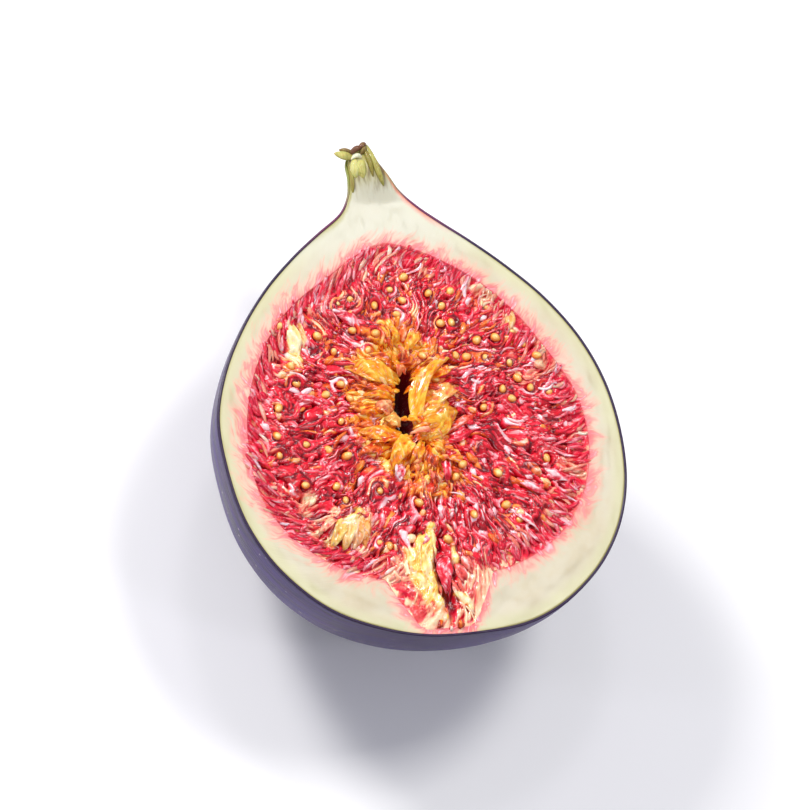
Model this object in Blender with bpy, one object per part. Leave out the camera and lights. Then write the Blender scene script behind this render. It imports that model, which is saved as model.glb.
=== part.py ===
# A fresh fig cut in half lengthwise, lying on its round back with the cut face up.
# Metres, +Z up. +Y runs from the eye at the fruit's base to the cut stalk.
# Two bodies: the rind, which is skin, flesh, neck and stalk in one, and the pulp, the mass of
# florets, seeds and eye scales that lines it. The pulp sits in the rind with a hair's breadth round it.
import math
import random

import bmesh
import bpy
from mathutils import Vector

# Driving dimensions of the fruit
CUT_HEIGHT = 0.0272
SKIN_DEPTH_SHARE = 0.995
PULP_DEPTH_SHARE = 0.90
GAP = 0.0003
BED_BELOW_CUT = 0.0008
Y_SHIFT = -0.0046
X_SHIFT = -0.00007

# Outline of the cut face, eye to stalk: distance along the axis, then half width
SKIN_PROFILE = (
    (-0.0306, 0.0), (-0.0303, 0.0068), (-0.0284, 0.0127), (-0.0244, 0.0190), (-0.0189, 0.0238),
    (-0.0122, 0.0269), (-0.0040, 0.02805), (0.0044, 0.0272), (0.0111, 0.0244), (0.0178, 0.0197),
    (0.0235, 0.0142), (0.0278, 0.0086), (0.0312, 0.0049), (0.0346, 0.0032), (0.0380, 0.0026),
    (0.0396, 0.0023), (0.0398, 0.0),
)
# Outline of the pulp inside it
PULP_PROFILE = (
    (-0.0226, 0.0), (-0.0218, 0.0085), (-0.0196, 0.0148), (-0.0160, 0.0196), (-0.0105, 0.0232),
    (-0.0036, 0.0243), (0.0030, 0.0235), (0.0090, 0.0208), (0.0145, 0.0172), (0.0190, 0.0125),
    (0.0222, 0.0072), (0.0241, 0.0),
)
SKIN_SIDES = 44
PULP_SIDES = 40
STEPS_PER_SPAN = 2
LEAN_START = 0.0290
NECK_LEAN = -0.0008
RIB_COUNTS = (9, 14)
RIB_SHARE_BODY = 0.006
RIB_SHARE_NECK = 0.045
RIB_NECK_START = 0.012
RIB_NECK_LENGTH = 0.018

# The eye: a round passage through the rind at the base, filled with scales
EYE_X = -0.0018
EYE_INNER = (-0.0205, 0.0074)
EYE_OUTER = (-0.0303, 0.0027)
EYE_SIDES = 18
EYE_PAST_SKIN = 0.002
# Its scales, in rows from the mouth inward: distance along the axis, then how many stand side by side
EYE_SCALE_ROWS = ((-0.0276, 2), (-0.0250, 3), (-0.0224, 4), (-0.0198, 4))
EYE_SCALE = {"half_length": 0.0025, "width": 0.0012, "height": 0.0013, "lift": 0.0004}

# The hollow in the pulp's heart, as a bent slit: centre line, then half widths
HEART_LINE = ((-0.0010, 0.0085), (-0.0018, 0.0040), (-0.0019, 0.0), (-0.0010, -0.0030), (0.0016, -0.0052))
HEART_HALF_WIDTHS = (0.0, 0.0011, 0.0013, 0.0012, 0.0)
HEART_DEPTH = 0.0075
HEART_PULL = 0.25

# Rows of florets, from the wall to the heart. Shares are of the way from the wall to the heart.
# The last row is the broad flaps that stand round the slit.
FLORET_ROWS = (
    {"count": 42, "share": 0.14, "length": 0.0066, "width": 0.00155, "height": 0.0015, "lift": 0.0003},
    {"count": 33, "share": 0.32, "length": 0.0064, "width": 0.00160, "height": 0.0016, "lift": 0.0005},
    {"count": 25, "share": 0.49, "length": 0.0060, "width": 0.00160, "height": 0.0016, "lift": 0.0006},
    {"count": 17, "share": 0.66, "length": 0.0056, "width": 0.00165, "height": 0.0015, "lift": 0.0007},
    {"count": 10, "share": 0.82, "length": 0.0060, "width": 0.00200, "height": 0.0014, "lift": 0.0007},
)
FLORET_SIDES = 5
FLORET_STEPS = ((-1.0, 0.0), (-0.45, 0.8), (0.15, 1.0), (0.7, 0.7), (1.0, 0.0))
FLORET_FLATNESS = 0.75
TIP_DIP = 0.0009
WALL_CLEARANCE = 0.0007
SEED_COUNT = 40
SEED_RADIUS = 0.0008
SEED_RISE = 0.0012
SEED_SHARES = (0.27, 0.74)
RANDOM_SEED = 7


def clear_scene():
    for old in list(bpy.data.objects):
        bpy.data.objects.remove(old, do_unlink=True)


def material(name, colour, roughness):
    made = bpy.data.materials.new(name)
    made.use_nodes = True
    shader = made.node_tree.nodes["Principled BSDF"]
    shader.inputs["Base Color"].default_value = (*colour, 1.0)
    shader.inputs["Roughness"].default_value = roughness
    shader.inputs["Metallic"].default_value = 0.0
    made.diffuse_color = (*colour, 1.0)
    return made


def mesh_object(name, bm, *materials):
    """Closes the bmesh into an object that is smooth except at sharp edges."""
    bmesh.ops.recalc_face_normals(bm, faces=bm.faces)
    mesh = bpy.data.meshes.new(name)
    bm.to_mesh(mesh)
    bm.free()
    mesh.shade_smooth()
    mesh.set_sharp_from_angle(angle=math.radians(40))
    for one in materials:
        mesh.materials.append(one)
    made = bpy.data.objects.new(name, mesh)
    bpy.context.scene.collection.objects.link(made)
    return made


def curve_through(points, steps):
    """Points on a smooth curve that starts and ends square to the axis: a Catmull-Rom spline."""
    first, last = (points[1][0], -points[1][1]), (points[-2][0], -points[-2][1])
    padded = [first, *points, last]
    found = []
    for i in range(1, len(padded) - 2):
        before, here, after, beyond = (Vector(p) for p in padded[i - 1:i + 3])
        for step in range(steps):
            t = step / steps
            found.append(0.5 * (
                2 * here + (after - before) * t
                + (2 * before - 5 * here + 4 * after - beyond) * t ** 2
                + (3 * here - before - 3 * after + beyond) * t ** 3
            ))
    found.append(Vector(points[-1]))
    return found


def ribbing(along, turn):
    """The fruit's shallow lengthwise ribs, as a share of its radius, deepest on the neck."""
    toward_neck = min(1.0, max(0.0, (along - RIB_NECK_START) / RIB_NECK_LENGTH))
    depth = RIB_SHARE_BODY + (RIB_SHARE_NECK - RIB_SHARE_BODY) * toward_neck ** 2
    few, many = RIB_COUNTS
    return 1 + depth * (0.6 * math.cos(few * turn + 0.7) + 0.4 * math.cos(many * turn + 2.1))


def lean(along):
    """How far the neck leans to one side."""
    past = max(0.0, along - LEAN_START) / (SKIN_PROFILE[-1][0] - LEAN_START)
    return NECK_LEAN * past ** 1.5


def turned_body(profile, depth_share, sides, ribbed=False, grow=0.0):
    """A closed body of rings round the fruit's axis, with a point at each end."""
    bm = bmesh.new()
    line = curve_through(profile, STEPS_PER_SPAN)
    start, end = line[0][0] - grow, line[-1][0] + grow
    rings = []
    for along, reach in line[1:-1]:
        ring = []
        for k in range(sides):
            turn = 2 * math.pi * k / sides
            radius = (reach + grow) * (ribbing(along, turn) if ribbed else 1.0)
            across = lean(along) + radius * math.cos(turn)
            height = CUT_HEIGHT + depth_share * radius * math.sin(turn)
            ring.append(bm.verts.new((across + X_SHIFT, along + Y_SHIFT, height)))
        rings.append(ring)
    for ring, after in zip(rings, rings[1:]):
        for k in range(sides):
            bm.faces.new((ring[k], ring[(k + 1) % sides], after[(k + 1) % sides], after[k]))
    for ring, along in ((rings[0], start), (rings[-1], end)):
        pole = bm.verts.new((lean(along) + X_SHIFT, along + Y_SHIFT, CUT_HEIGHT))
        for k in range(sides):
            bm.faces.new((ring[k], ring[(k + 1) % sides], pole))
    return bm


def slice_off(bm, height, keep_below):
    """Cuts the body flat at a height and closes the cut with one face."""
    side = 1 if keep_below else -1
    cut = bmesh.ops.bisect_plane(
        bm, geom=bm.verts[:] + bm.edges[:] + bm.faces[:], dist=1e-6,
        plane_co=(0, 0, height), plane_no=(0, 0, side), clear_outer=True,
    )
    rim = [e for e in cut["geom_cut"] if isinstance(e, bmesh.types.BMEdge)]
    bmesh.ops.contextual_create(bm, geom=rim)


def swept_body(path, widths, heights, sides, turn=0.0):
    """A closed tapering body along a path, with elliptical rings and pointed ends."""
    bm = bmesh.new()
    path = [Vector(p) for p in path]
    rings = []
    for i in range(1, len(path) - 1):
        ahead = (path[i + 1] - path[i - 1]).normalized()
        across = ahead.cross(Vector((0, 0, 1))).normalized()
        upward = across.cross(ahead)
        ring = []
        for k in range(sides):
            angle = 2 * math.pi * k / sides + turn
            offset = across * widths[i] * math.cos(angle) + upward * heights[i] * math.sin(angle)
            ring.append(bm.verts.new(path[i] + offset))
        rings.append(ring)
    for ring, after in zip(rings, rings[1:]):
        for k in range(sides):
            bm.faces.new((ring[k], ring[(k + 1) % sides], after[(k + 1) % sides], after[k]))
    for ring, tip in ((rings[0], path[0]), (rings[-1], path[-1])):
        point = bm.verts.new(tip)
        for k in range(sides):
            bm.faces.new((ring[k], ring[(k + 1) % sides], point))
    return bm


def cone_along_axis(ends, grow, sides):
    """The eye's passage: a round cone from inside the fruit to its base."""
    (inner_y, inner_r), (outer_y, outer_r) = ends
    bm = bmesh.new()
    rings = []
    for along, radius in ((inner_y, inner_r + grow), (outer_y, outer_r + grow)):
        ring = []
        for k in range(sides):
            turn = 2 * math.pi * k / sides
            ring.append(bm.verts.new((
                EYE_X + X_SHIFT + radius * math.cos(turn),
                along + Y_SHIFT,
                CUT_HEIGHT + radius * math.sin(turn),
            )))
        rings.append(ring)
    for k in range(sides):
        bm.faces.new((rings[0][k], rings[0][(k + 1) % sides], rings[1][(k + 1) % sides], rings[1][k]))
    for ring in rings:
        bm.faces.new(ring)
    return bm


def as_cutter(tool):
    tool.hide_render = True
    tool.display_type = "WIRE"
    return tool


def add_boolean(target, operation, tool, solver="EXACT"):
    boolean = target.modifiers.new(operation.lower(), "BOOLEAN")
    boolean.operation = operation
    boolean.solver = solver
    boolean.object = tool
    return boolean


def join_all(target, others, solver):
    """Fuses the others into the target with one union, and removes them."""
    group = bpy.data.collections.new(target.name + "_repeats")
    bpy.context.scene.collection.children.link(group)
    for other in others:
        bpy.context.scene.collection.objects.unlink(other)
        group.objects.link(other)
    union = target.modifiers.new("fuse", "BOOLEAN")
    union.operation = "UNION"
    union.solver = solver
    union.operand_type = "COLLECTION"
    union.collection = group
    bpy.context.view_layer.objects.active = target
    bpy.ops.object.modifier_apply(modifier=union.name)
    for other in list(group.objects):
        bpy.data.objects.remove(other, do_unlink=True)
    bpy.data.collections.remove(group)


def keep_outer_surface(mesh):
    """Keeps the largest connected surface: the rest are hollows that fusing sealed, or loose scraps."""
    bm = bmesh.new()
    bm.from_mesh(mesh)
    unseen = set(bm.verts)
    surfaces = []
    while unseen:
        waiting = [unseen.pop()]
        surface = list(waiting)
        while waiting:
            for edge in waiting.pop().link_edges:
                for vert in edge.verts:
                    if vert in unseen:
                        unseen.remove(vert)
                        waiting.append(vert)
                        surface.append(vert)
        surfaces.append(surface)
    surfaces.sort(key=len)
    for surface in surfaces[:-1]:
        bmesh.ops.delete(bm, geom=surface, context="VERTS")
    bm.to_mesh(mesh)
    bm.free()


def paint_cut_faces(mesh, flesh_slot):
    """Gives the flesh's material to every face that looks up or into the fruit."""
    for face in mesh.polygons:
        if face.normal.z > 0.5:
            face.material_index = flesh_slot


def build_stalk_end(skin, flesh):
    """The torn end of the stalk: a dried scale to the left, a knob of sap and a raised fibre."""
    top = CUT_HEIGHT
    scale = mesh_object("stalk_scale", swept_body(
        [(-0.0008, 0.0330, top - 0.0006), (-0.0022, 0.0333, top - 0.0002),
         (-0.0034, 0.0337, top + 0.0002), (-0.0046, 0.0342, top + 0.0001)],
        (0, 0.0008, 0.0006, 0), (0, 0.0008, 0.0005, 0), 6), skin, flesh)
    knob = mesh_object("sap_knob", swept_body(
        [(-0.0016, 0.0303, top - 0.0004), (-0.0016, 0.0312, top - 0.0001),
         (-0.0015, 0.0326, top), (-0.0014, 0.0335, top - 0.0004)],
        (0, 0.0012, 0.0011, 0), (0, 0.0011, 0.0010, 0), 7), skin, flesh)
    fibre = mesh_object("stalk_fibre", swept_body(
        [(0.0022, 0.0270, top - 0.0006), (0.0012, 0.0305, top - 0.0001),
         (0.0004, 0.0334, top + 0.0001), (-0.0001, 0.0349, top - 0.0006)],
        (0, 0.0007, 0.0007, 0), (0, 0.0009, 0.0008, 0), 6), skin, flesh)
    return [scale, knob, fibre]


def build_rind(skin, flesh):
    """Skin, flesh, neck and stalk: a half fruit with room for the pulp and an open eye."""
    bm = turned_body(SKIN_PROFILE, SKIN_DEPTH_SHARE, SKIN_SIDES, ribbed=True)
    slice_off(bm, CUT_HEIGHT, keep_below=True)
    slice_off(bm, 0.0, keep_below=False)
    rind = mesh_object("fig_rind", bm, skin, flesh)
    join_all(rind, build_stalk_end(skin, flesh), "EXACT")
    paint_cut_faces(rind.data, 1)
    room = turned_body(PULP_PROFILE, PULP_DEPTH_SHARE, PULP_SIDES, grow=GAP)
    (inner_y, inner_r), (outer_y, outer_r) = EYE_INNER, EYE_OUTER
    taper = (inner_r - outer_r) / (inner_y - outer_y)
    mouth = (outer_y - EYE_PAST_SKIN, outer_r - taper * EYE_PAST_SKIN)
    passage = cone_along_axis((EYE_INNER, mouth), GAP, EYE_SIDES)
    add_boolean(rind, "DIFFERENCE", as_cutter(mesh_object("pulp_room", room, flesh)))
    add_boolean(rind, "DIFFERENCE", as_cutter(mesh_object("eye_room", passage, flesh)))
    return rind


def pulp_edge(angle):
    """The point of the pulp's outline that lies in this direction from the fruit's middle."""
    line = curve_through(PULP_PROFILE, 6)
    best = max(
        ((along, side * reach) for along, reach in line for side in (-1, 1)),
        key=lambda p: math.cos(angle - math.atan2(p[0], p[1])),
    )
    return Vector((best[1], best[0], 0))


def heart_aim(point):
    """The point of the heart's centre line that a floret rooted here points to."""
    top, bottom = HEART_LINE[0][1], HEART_LINE[-1][1]
    along = min(top, max(bottom, 0.5 * (top + bottom) + HEART_PULL * point.y))
    for (x_above, above), (x_below, below) in zip(HEART_LINE, HEART_LINE[1:]):
        if below <= along:
            part = (above - along) / (above - below)
            return Vector((x_above + (x_below - x_above) * part, along, 0))


def floret_spot(angle, share, half_length):
    """A place between the pulp's edge and its heart, clear of the wall, and the way to the heart."""
    edge = pulp_edge(angle)
    inward = heart_aim(edge) - edge
    away = max(share * inward.length, half_length + WALL_CLEARANCE)
    return edge + inward.normalized() * away, inward.normalized()


def placed(point, height):
    return Vector((point.x + X_SHIFT, point.y + Y_SHIFT, height))


def tapering_body(spot, toward, half_length, width, height, lift, bend=0.0):
    """A floret or scale: a slim body along its own way in, with both tips sunk in the bed."""
    sideways = Vector((-toward.y, toward.x, 0))
    path, widths, heights = [], [], []
    for step, fullness in FLORET_STEPS:
        at = spot + toward * half_length * step + sideways * half_length * bend * (1 - step * step)
        path.append(placed(at, CUT_HEIGHT - BED_BELOW_CUT + lift - TIP_DIP * step * step))
        widths.append(width * fullness)
        heights.append(height * fullness * FLORET_FLATNESS)
    return swept_body(path, widths, heights, FLORET_SIDES, turn=math.pi / 2)


def build_florets(pulp_colour):
    """Rows of tapering florets that point from the wall to the heart, larger than life."""
    rng = random.Random(RANDOM_SEED)
    made = []
    for number, row in enumerate(FLORET_ROWS):
        for k in range(row["count"]):
            angle = 2 * math.pi * (k + 0.5 * (number % 2) + rng.uniform(-0.15, 0.15)) / row["count"]
            share = row["share"] + rng.uniform(-0.03, 0.03)
            half = row["length"] * rng.uniform(0.44, 0.54)
            spot, inward = floret_spot(angle, share, half)
            bend = rng.uniform(-0.12, 0.12)
            body = tapering_body(spot, inward, half, row["width"], row["height"], row["lift"], bend)
            made.append(mesh_object(f"floret_{number}_{k}", body, pulp_colour))
    return made


def build_seeds(pulp_colour):
    """Round seeds scattered by a golden-angle rule through the middle of the pulp."""
    made = []
    bed = CUT_HEIGHT - BED_BELOW_CUT
    golden = math.pi * (3 - math.sqrt(5))
    near, far = SEED_SHARES
    for k in range(SEED_COUNT):
        share = near + (far - near) * (k + 0.5) / SEED_COUNT
        spot, _ = floret_spot(k * golden, share, SEED_RADIUS)
        bm = bmesh.new()
        bmesh.ops.create_icosphere(bm, subdivisions=1, radius=SEED_RADIUS)
        bmesh.ops.translate(bm, verts=bm.verts, vec=placed(spot, bed + SEED_RISE))
        made.append(mesh_object(f"seed_{k}", bm, pulp_colour))
    return made


def build_eye_scales(pulp_colour):
    """The scales that close the eye, side by side in rows, spread like a fan toward the pulp."""
    (inner_y, inner_r), (outer_y, outer_r) = EYE_INNER, EYE_OUTER
    made = []
    for number, (along, count) in enumerate(EYE_SCALE_ROWS):
        radius = outer_r + (inner_r - outer_r) * (along - outer_y) / (inner_y - outer_y)
        reach = radius - EYE_SCALE["width"] - WALL_CLEARANCE
        for k in range(count):
            across = reach * (2 * k / (count - 1) - 1)
            toward = Vector((0.5 * across / radius, 1, 0)).normalized()
            spot = Vector((EYE_X + across, along, 0))
            body = tapering_body(spot, toward, **EYE_SCALE)
            made.append(mesh_object(f"eye_scale_{number}_{k}", body, pulp_colour))
    return made


def build_pulp(pulp_colour):
    """The pulp: a bed under the cut, the plug and scales of the eye, florets, seeds and a heart slit."""
    bm = turned_body(PULP_PROFILE, PULP_DEPTH_SHARE, PULP_SIDES)
    slice_off(bm, CUT_HEIGHT - BED_BELOW_CUT, keep_below=True)
    pulp = mesh_object("fig_pulp", bm, pulp_colour)
    plug_bm = cone_along_axis((EYE_INNER, EYE_OUTER), 0.0, EYE_SIDES)
    slice_off(plug_bm, CUT_HEIGHT - 0.5 * BED_BELOW_CUT, keep_below=True)
    plug = mesh_object("eye_plug", plug_bm, pulp_colour)
    repeats = build_florets(pulp_colour) + build_seeds(pulp_colour) + build_eye_scales(pulp_colour)
    join_all(pulp, [plug, *repeats], "MANIFOLD")
    keep_outer_surface(pulp.data)
    slit = swept_body(
        [placed(Vector((*p, 0)), CUT_HEIGHT) for p in HEART_LINE],
        HEART_HALF_WIDTHS,
        [0.0 if w == 0 else HEART_DEPTH for w in HEART_HALF_WIDTHS],
        8,
    )
    add_boolean(pulp, "DIFFERENCE", as_cutter(mesh_object("heart_slit", slit, pulp_colour)))
    return pulp


def main():
    clear_scene()
    skin = material("dark_purple_skin", (0.075, 0.035, 0.110), 0.45)
    flesh = material("cream_flesh", (0.780, 0.740, 0.480), 0.40)
    pulp_colour = material("crimson_pulp", (0.560, 0.030, 0.050), 0.25)
    build_rind(skin, flesh)
    build_pulp(pulp_colour)


main()
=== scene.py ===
import math
from types import SimpleNamespace

import bmesh
import bpy
import numpy as np
from mathutils import Matrix, Vector


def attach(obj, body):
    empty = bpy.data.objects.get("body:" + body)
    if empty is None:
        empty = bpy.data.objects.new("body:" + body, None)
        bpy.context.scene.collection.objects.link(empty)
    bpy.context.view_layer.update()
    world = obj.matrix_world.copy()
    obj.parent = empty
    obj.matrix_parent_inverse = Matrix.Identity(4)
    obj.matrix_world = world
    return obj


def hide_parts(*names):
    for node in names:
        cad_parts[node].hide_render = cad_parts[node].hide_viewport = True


# Half a fresh fig on its round back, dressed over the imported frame.
# Shapes are worked out in millimetres in the fruit's own axes: across, along from eye to stalk,
# and up from the cut face. toFrame puts them in the frame's metres.

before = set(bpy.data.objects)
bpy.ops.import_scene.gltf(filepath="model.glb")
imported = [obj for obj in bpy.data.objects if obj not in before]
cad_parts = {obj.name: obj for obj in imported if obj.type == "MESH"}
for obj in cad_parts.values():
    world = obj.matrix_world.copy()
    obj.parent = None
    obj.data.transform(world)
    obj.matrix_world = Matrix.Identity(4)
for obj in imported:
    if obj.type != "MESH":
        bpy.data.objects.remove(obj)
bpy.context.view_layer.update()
print("frame loaded")

fruit = {
    "cutHeight": 27.2,        # of the cut face above the table
    "shift": (-0.07, -4.6),   # from the fruit's own axes to the frame's
    "depthShare": 0.995,      # how deep the half is, as a share of its half width
    # outline of the cut: place along the axis, the outline's middle there, half its width
    "outline": (
        (-30.6, 1.2, 0.0), (-30.2, 1.5, 6.7), (-28.6, 1.1, 12.25), (-25.8, 0.5, 17.45), (-22.0, 0.4, 21.65),
        (-17.0, 0.25, 25.1), (-11.0, 0.1, 27.3), (-4.0, -0.05, 28.05), (3.0, -0.3, 27.55), (9.5, -0.25, 25.25),
        (15.5, -0.25, 21.55), (20.5, -0.35, 17.2), (24.5, -0.2, 12.8), (27.5, 0.1, 8.95), (30.0, 0.55, 5.7),
        (32.5, 0.35, 3.75), (35.0, 0.05, 2.85), (37.4, -0.5, 2.15), (39.1, 0.1, 1.0), (39.8, 0.3, 0.0),
    ),
    "neckFrom": 12.0,         # where the neck starts along the axis, and how far it goes
    "neckLength": 18.0,
    "ribCounts": (9, 14, 27),
    "ribShareBody": 0.006,
    "ribShareNeck": 0.045,
}

pulpShape = {
    "meanRadius": 23.5,
    "meanReach": 22.0,        # from the edge to the slit
    "heartLoop": 27.0,        # length round the slit
    # radius of the pulp's edge, every 22.5 degrees from +across, counter-clockwise
    "rim": (23.4, 21.8, 22.1, 23.5, 25.2, 23.2, 23.2, 23.5, 24.5, 25.9, 25.3, 23.9, 22.6, 23.6, 24.6, 24.4),
    # how far the border's streaks lean as they run out, in the same steps: sideways per millimetre outward
    "lean": (0.32, 0.4, 0.1, -0.4, -1.0, -1.4, -1.5, -1.4, -1.3, -1.2, -1.0, -0.7, -0.3, -0.3, -0.1, 0.3),
    "leanFrom": 5.0,
    "cupDepth": 21.4,
    # the slit at the heart: along, across, half width
    "slit": (
        (8.4, 0.1, 0.0), (6.6, -0.3, 0.95), (2.8, -1.05, 0.95), (-0.2, -1.3, 0.95), (-2.0, 0.0, 0.6), (-3.6, 2.4, 0.0)),
    "slitDepth": 7.0,
    "aimMiddle": 2.4,
    "aimPull": 0.25,
    # the passage to the eye: direction, half angles at its inner and outer end, outer reach
    "eyeAngle": math.radians(-94.0),
    "eyeSpread": (math.radians(19.0), math.radians(7.0)),
    "eyeReach": 29.9,
}


# metres in the frame, from the fruit's own millimetres
def toFrame(points):
    across, along = fruit["shift"]
    return (points + np.array([across, along, fruit["cutHeight"]])) / 1000


# a Catmull-Rom curve through rows of numbers, whose first and last row only steer it; t runs 0 to 1
def throughRows(padded, t):
    padded = np.asarray(padded, float)
    place = np.clip(t, 0, 1) * (len(padded) - 3)
    span = np.minimum(place.astype(int), len(padded) - 4)
    w = (place - span)[..., None]
    a, b, c, d = (padded[span + k] for k in range(4))
    return 0.5 * (2 * b + (c - a) * w + (2 * a - 5 * b + 4 * c - d) * w ** 2 + (3 * b - a - 3 * c + d) * w ** 3)


# 0 below low, 1 above high, and 3t^2 - 2t^3 between
def smoothStep(value, low, high):
    t = np.clip((value - low) / (high - low), 0, 1)
    return t * t * (3 - 2 * t)


# soft bumps of about the given size, mostly within 1 of 0: nine sine waves in seeded directions
def softNoise(points, size, seed):
    rng = np.random.default_rng(seed)
    waves = rng.normal(size=(9, points.shape[-1]))
    waves *= (2 * np.pi / size * rng.uniform(0.6, 1.5, 9) / np.linalg.norm(waves, axis=1))[:, None]
    return np.sin(points @ waves.T + rng.uniform(0, 2 * np.pi, 9)).sum(-1) / 3.6


def unit(vectors):
    return vectors / np.maximum(np.linalg.norm(vectors, axis=-1, keepdims=True), 1e-9)


# across and along at a distance from the middle, in the direction of an angle
def polar(radius, angle):
    return np.stack([radius * np.cos(angle), radius * np.sin(angle)], -1)


# a direction turned a quarter to the left
def leftOf(way):
    return np.stack([-way[..., 1], way[..., 0]], -1)


# the outline's rows, with one more at each end so that it closes square to the axis
def outlineRows():
    rows = fruit["outline"]
    first, last = np.array(rows[1]), np.array(rows[-2])
    return [first * (1, 1, -1), *rows, last * (1, 1, -1)]


# along, middle and half width at t from 0 at the base to 1 at the stalk's tip
def outlineAt(t):
    return throughRows(outlineRows(), t)


denseOutline = outlineAt(np.linspace(0, 1, 1500))


# middle and half width of the fruit at a place along it
def girthAt(along):
    order = np.argsort(denseOutline[:, 0])
    return [np.interp(along, denseOutline[order, 0], denseOutline[order, k]) for k in (1, 2)]


# a smooth curve round the pulp through the numbers listed every 22.5 degrees
def roundPulp(label, angle):
    rows = [(r,) for r in pulpShape[label]]
    return throughRows([rows[-1], *rows, rows[0], rows[1]], (angle / (2 * np.pi)) % 1)[..., 0]


# radius of the pulp's edge at an angle, without the passage to the eye
def rimAt(angle):
    return roundPulp("rim", angle)


# how far the streaks have leaned sideways, as an angle, at a distance inside the pulp's edge
def leanAt(angle, inside):
    out = pulpShape["leanFrom"] - inside
    return roundPulp("lean", angle) * 0.5 * (out + np.sqrt(out ** 2 + 2)) / pulpShape["meanRadius"]


# the direction that streaks take: round the pulp in its first two numbers, inward in its third
def flowAt(angle, inward):
    return np.concatenate([polar(pulpShape["meanRadius"], angle), inward[..., None]], -1)


# how far an angle is from the middle of the passage to the eye
def offEye(angle):
    return np.abs((angle - pulpShape["eyeAngle"] + np.pi) % (2 * np.pi) - np.pi)


# radius of the pulp's edge with the passage, whose straight sides narrow to the eye
def rimWithEye(angle):
    inner, outer = pulpShape["eyeSpread"]
    share = np.clip((inner - offEye(angle)) / (inner - outer), 0, 1)
    return rimAt(angle) + share * (pulpShape["eyeReach"] - rimAt(angle))


# across and along of the slit's centre line, and its half width, at a place along it
def slitAt(along):
    rows = np.array(pulpShape["slit"])[::-1]
    return np.interp(along, rows[:, 0], rows[:, 1]), np.interp(along, rows[:, 0], rows[:, 2])


# the pulp's edge at an angle, and the point of the slit that it faces
def edgeAndAim(angle):
    edge = polar(rimAt(angle), angle)
    top, bottom = pulpShape["slit"][0][0], pulpShape["slit"][-1][0]
    along = np.clip(pulpShape["aimMiddle"] + pulpShape["aimPull"] * edge[..., 1], bottom, top)
    return edge, np.stack([slitAt(along)[0], along], -1)


# a place in the pulp: share 0 at its edge, 1 at the slit
def pulpPlace(angle, share):
    edge, aim = edgeAndAim(angle)
    return edge + (aim - edge) * share[..., None]


# height of the pulp's surface: level with the cut at the edge, a low swell, then down to the slit
def pulpLevel(points, share):
    swell = 0.35 * smoothStep(share, 0.02, 0.3) - 0.7 * smoothStep(share, 0.62, 0.9)
    fall = 1.6 * smoothStep(share, 0.88, 1.0)
    return swell - fall + 0.4 * softNoise(points[..., :2], 7.0, 11) * smoothStep(share, 0.03, 0.2)


# Mesh makers

noTris = np.zeros((0, 3), int)


# a smooth mesh of quads and triangles, with a value or vector for each of its points
def makePiece(name, points, quads, tris, finish, values=None):
    points = points.reshape(-1, 3)
    mesh = bpy.data.meshes.new(name)
    mesh.vertices.add(len(points))
    mesh.vertices.foreach_set("co", toFrame(points).astype(np.float32).ravel())
    loops = np.concatenate([quads.ravel(), tris.ravel()]).astype(np.int32)
    sizes = np.concatenate([np.full(len(quads), 4), np.full(len(tris), 3)])
    mesh.loops.add(len(loops))
    mesh.loops.foreach_set("vertex_index", loops)
    mesh.polygons.add(len(sizes))
    mesh.polygons.foreach_set("loop_start", (np.cumsum(sizes) - sizes).astype(np.int32))
    mesh.update(calc_edges=True)
    for label, value in (values or {}).items():
        kind, field = ("FLOAT", "value") if value.size == len(points) else ("FLOAT_VECTOR", "vector")
        mesh.attributes.new(label, kind, "POINT").data.foreach_set(field, value.astype(np.float32).ravel())
    mesh.shade_smooth()
    mesh.materials.append(finish)
    piece = bpy.data.objects.new(name, mesh)
    bpy.context.scene.collection.objects.link(piece)
    return piece


# quads between the rows of a grid whose columns close on themselves
def loopQuads(rows, columns):
    corner = np.arange(rows * columns).reshape(rows, columns)
    after = np.roll(corner, -1, axis=1)
    return np.stack([corner[:-1], after[:-1], after[1:], corner[1:]], -1).reshape(-1, 4)


# a closed surface from a grid whose first and last row each shrink to a point or seam
def closedSurface(name, grid, finish, values):
    piece = makePiece(name, grid, loopQuads(*grid.shape[:2]), noTris, finish, values)
    bm = bmesh.new()
    bm.from_mesh(piece.data)
    bmesh.ops.remove_doubles(bm, verts=bm.verts, dist=1e-6)
    bmesh.ops.dissolve_degenerate(bm, edges=bm.edges, dist=1e-7)
    bmesh.ops.recalc_face_normals(bm, faces=bm.faces)
    bm.to_mesh(piece.data)
    bm.free()
    piece.data.shade_smooth()
    return piece


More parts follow.
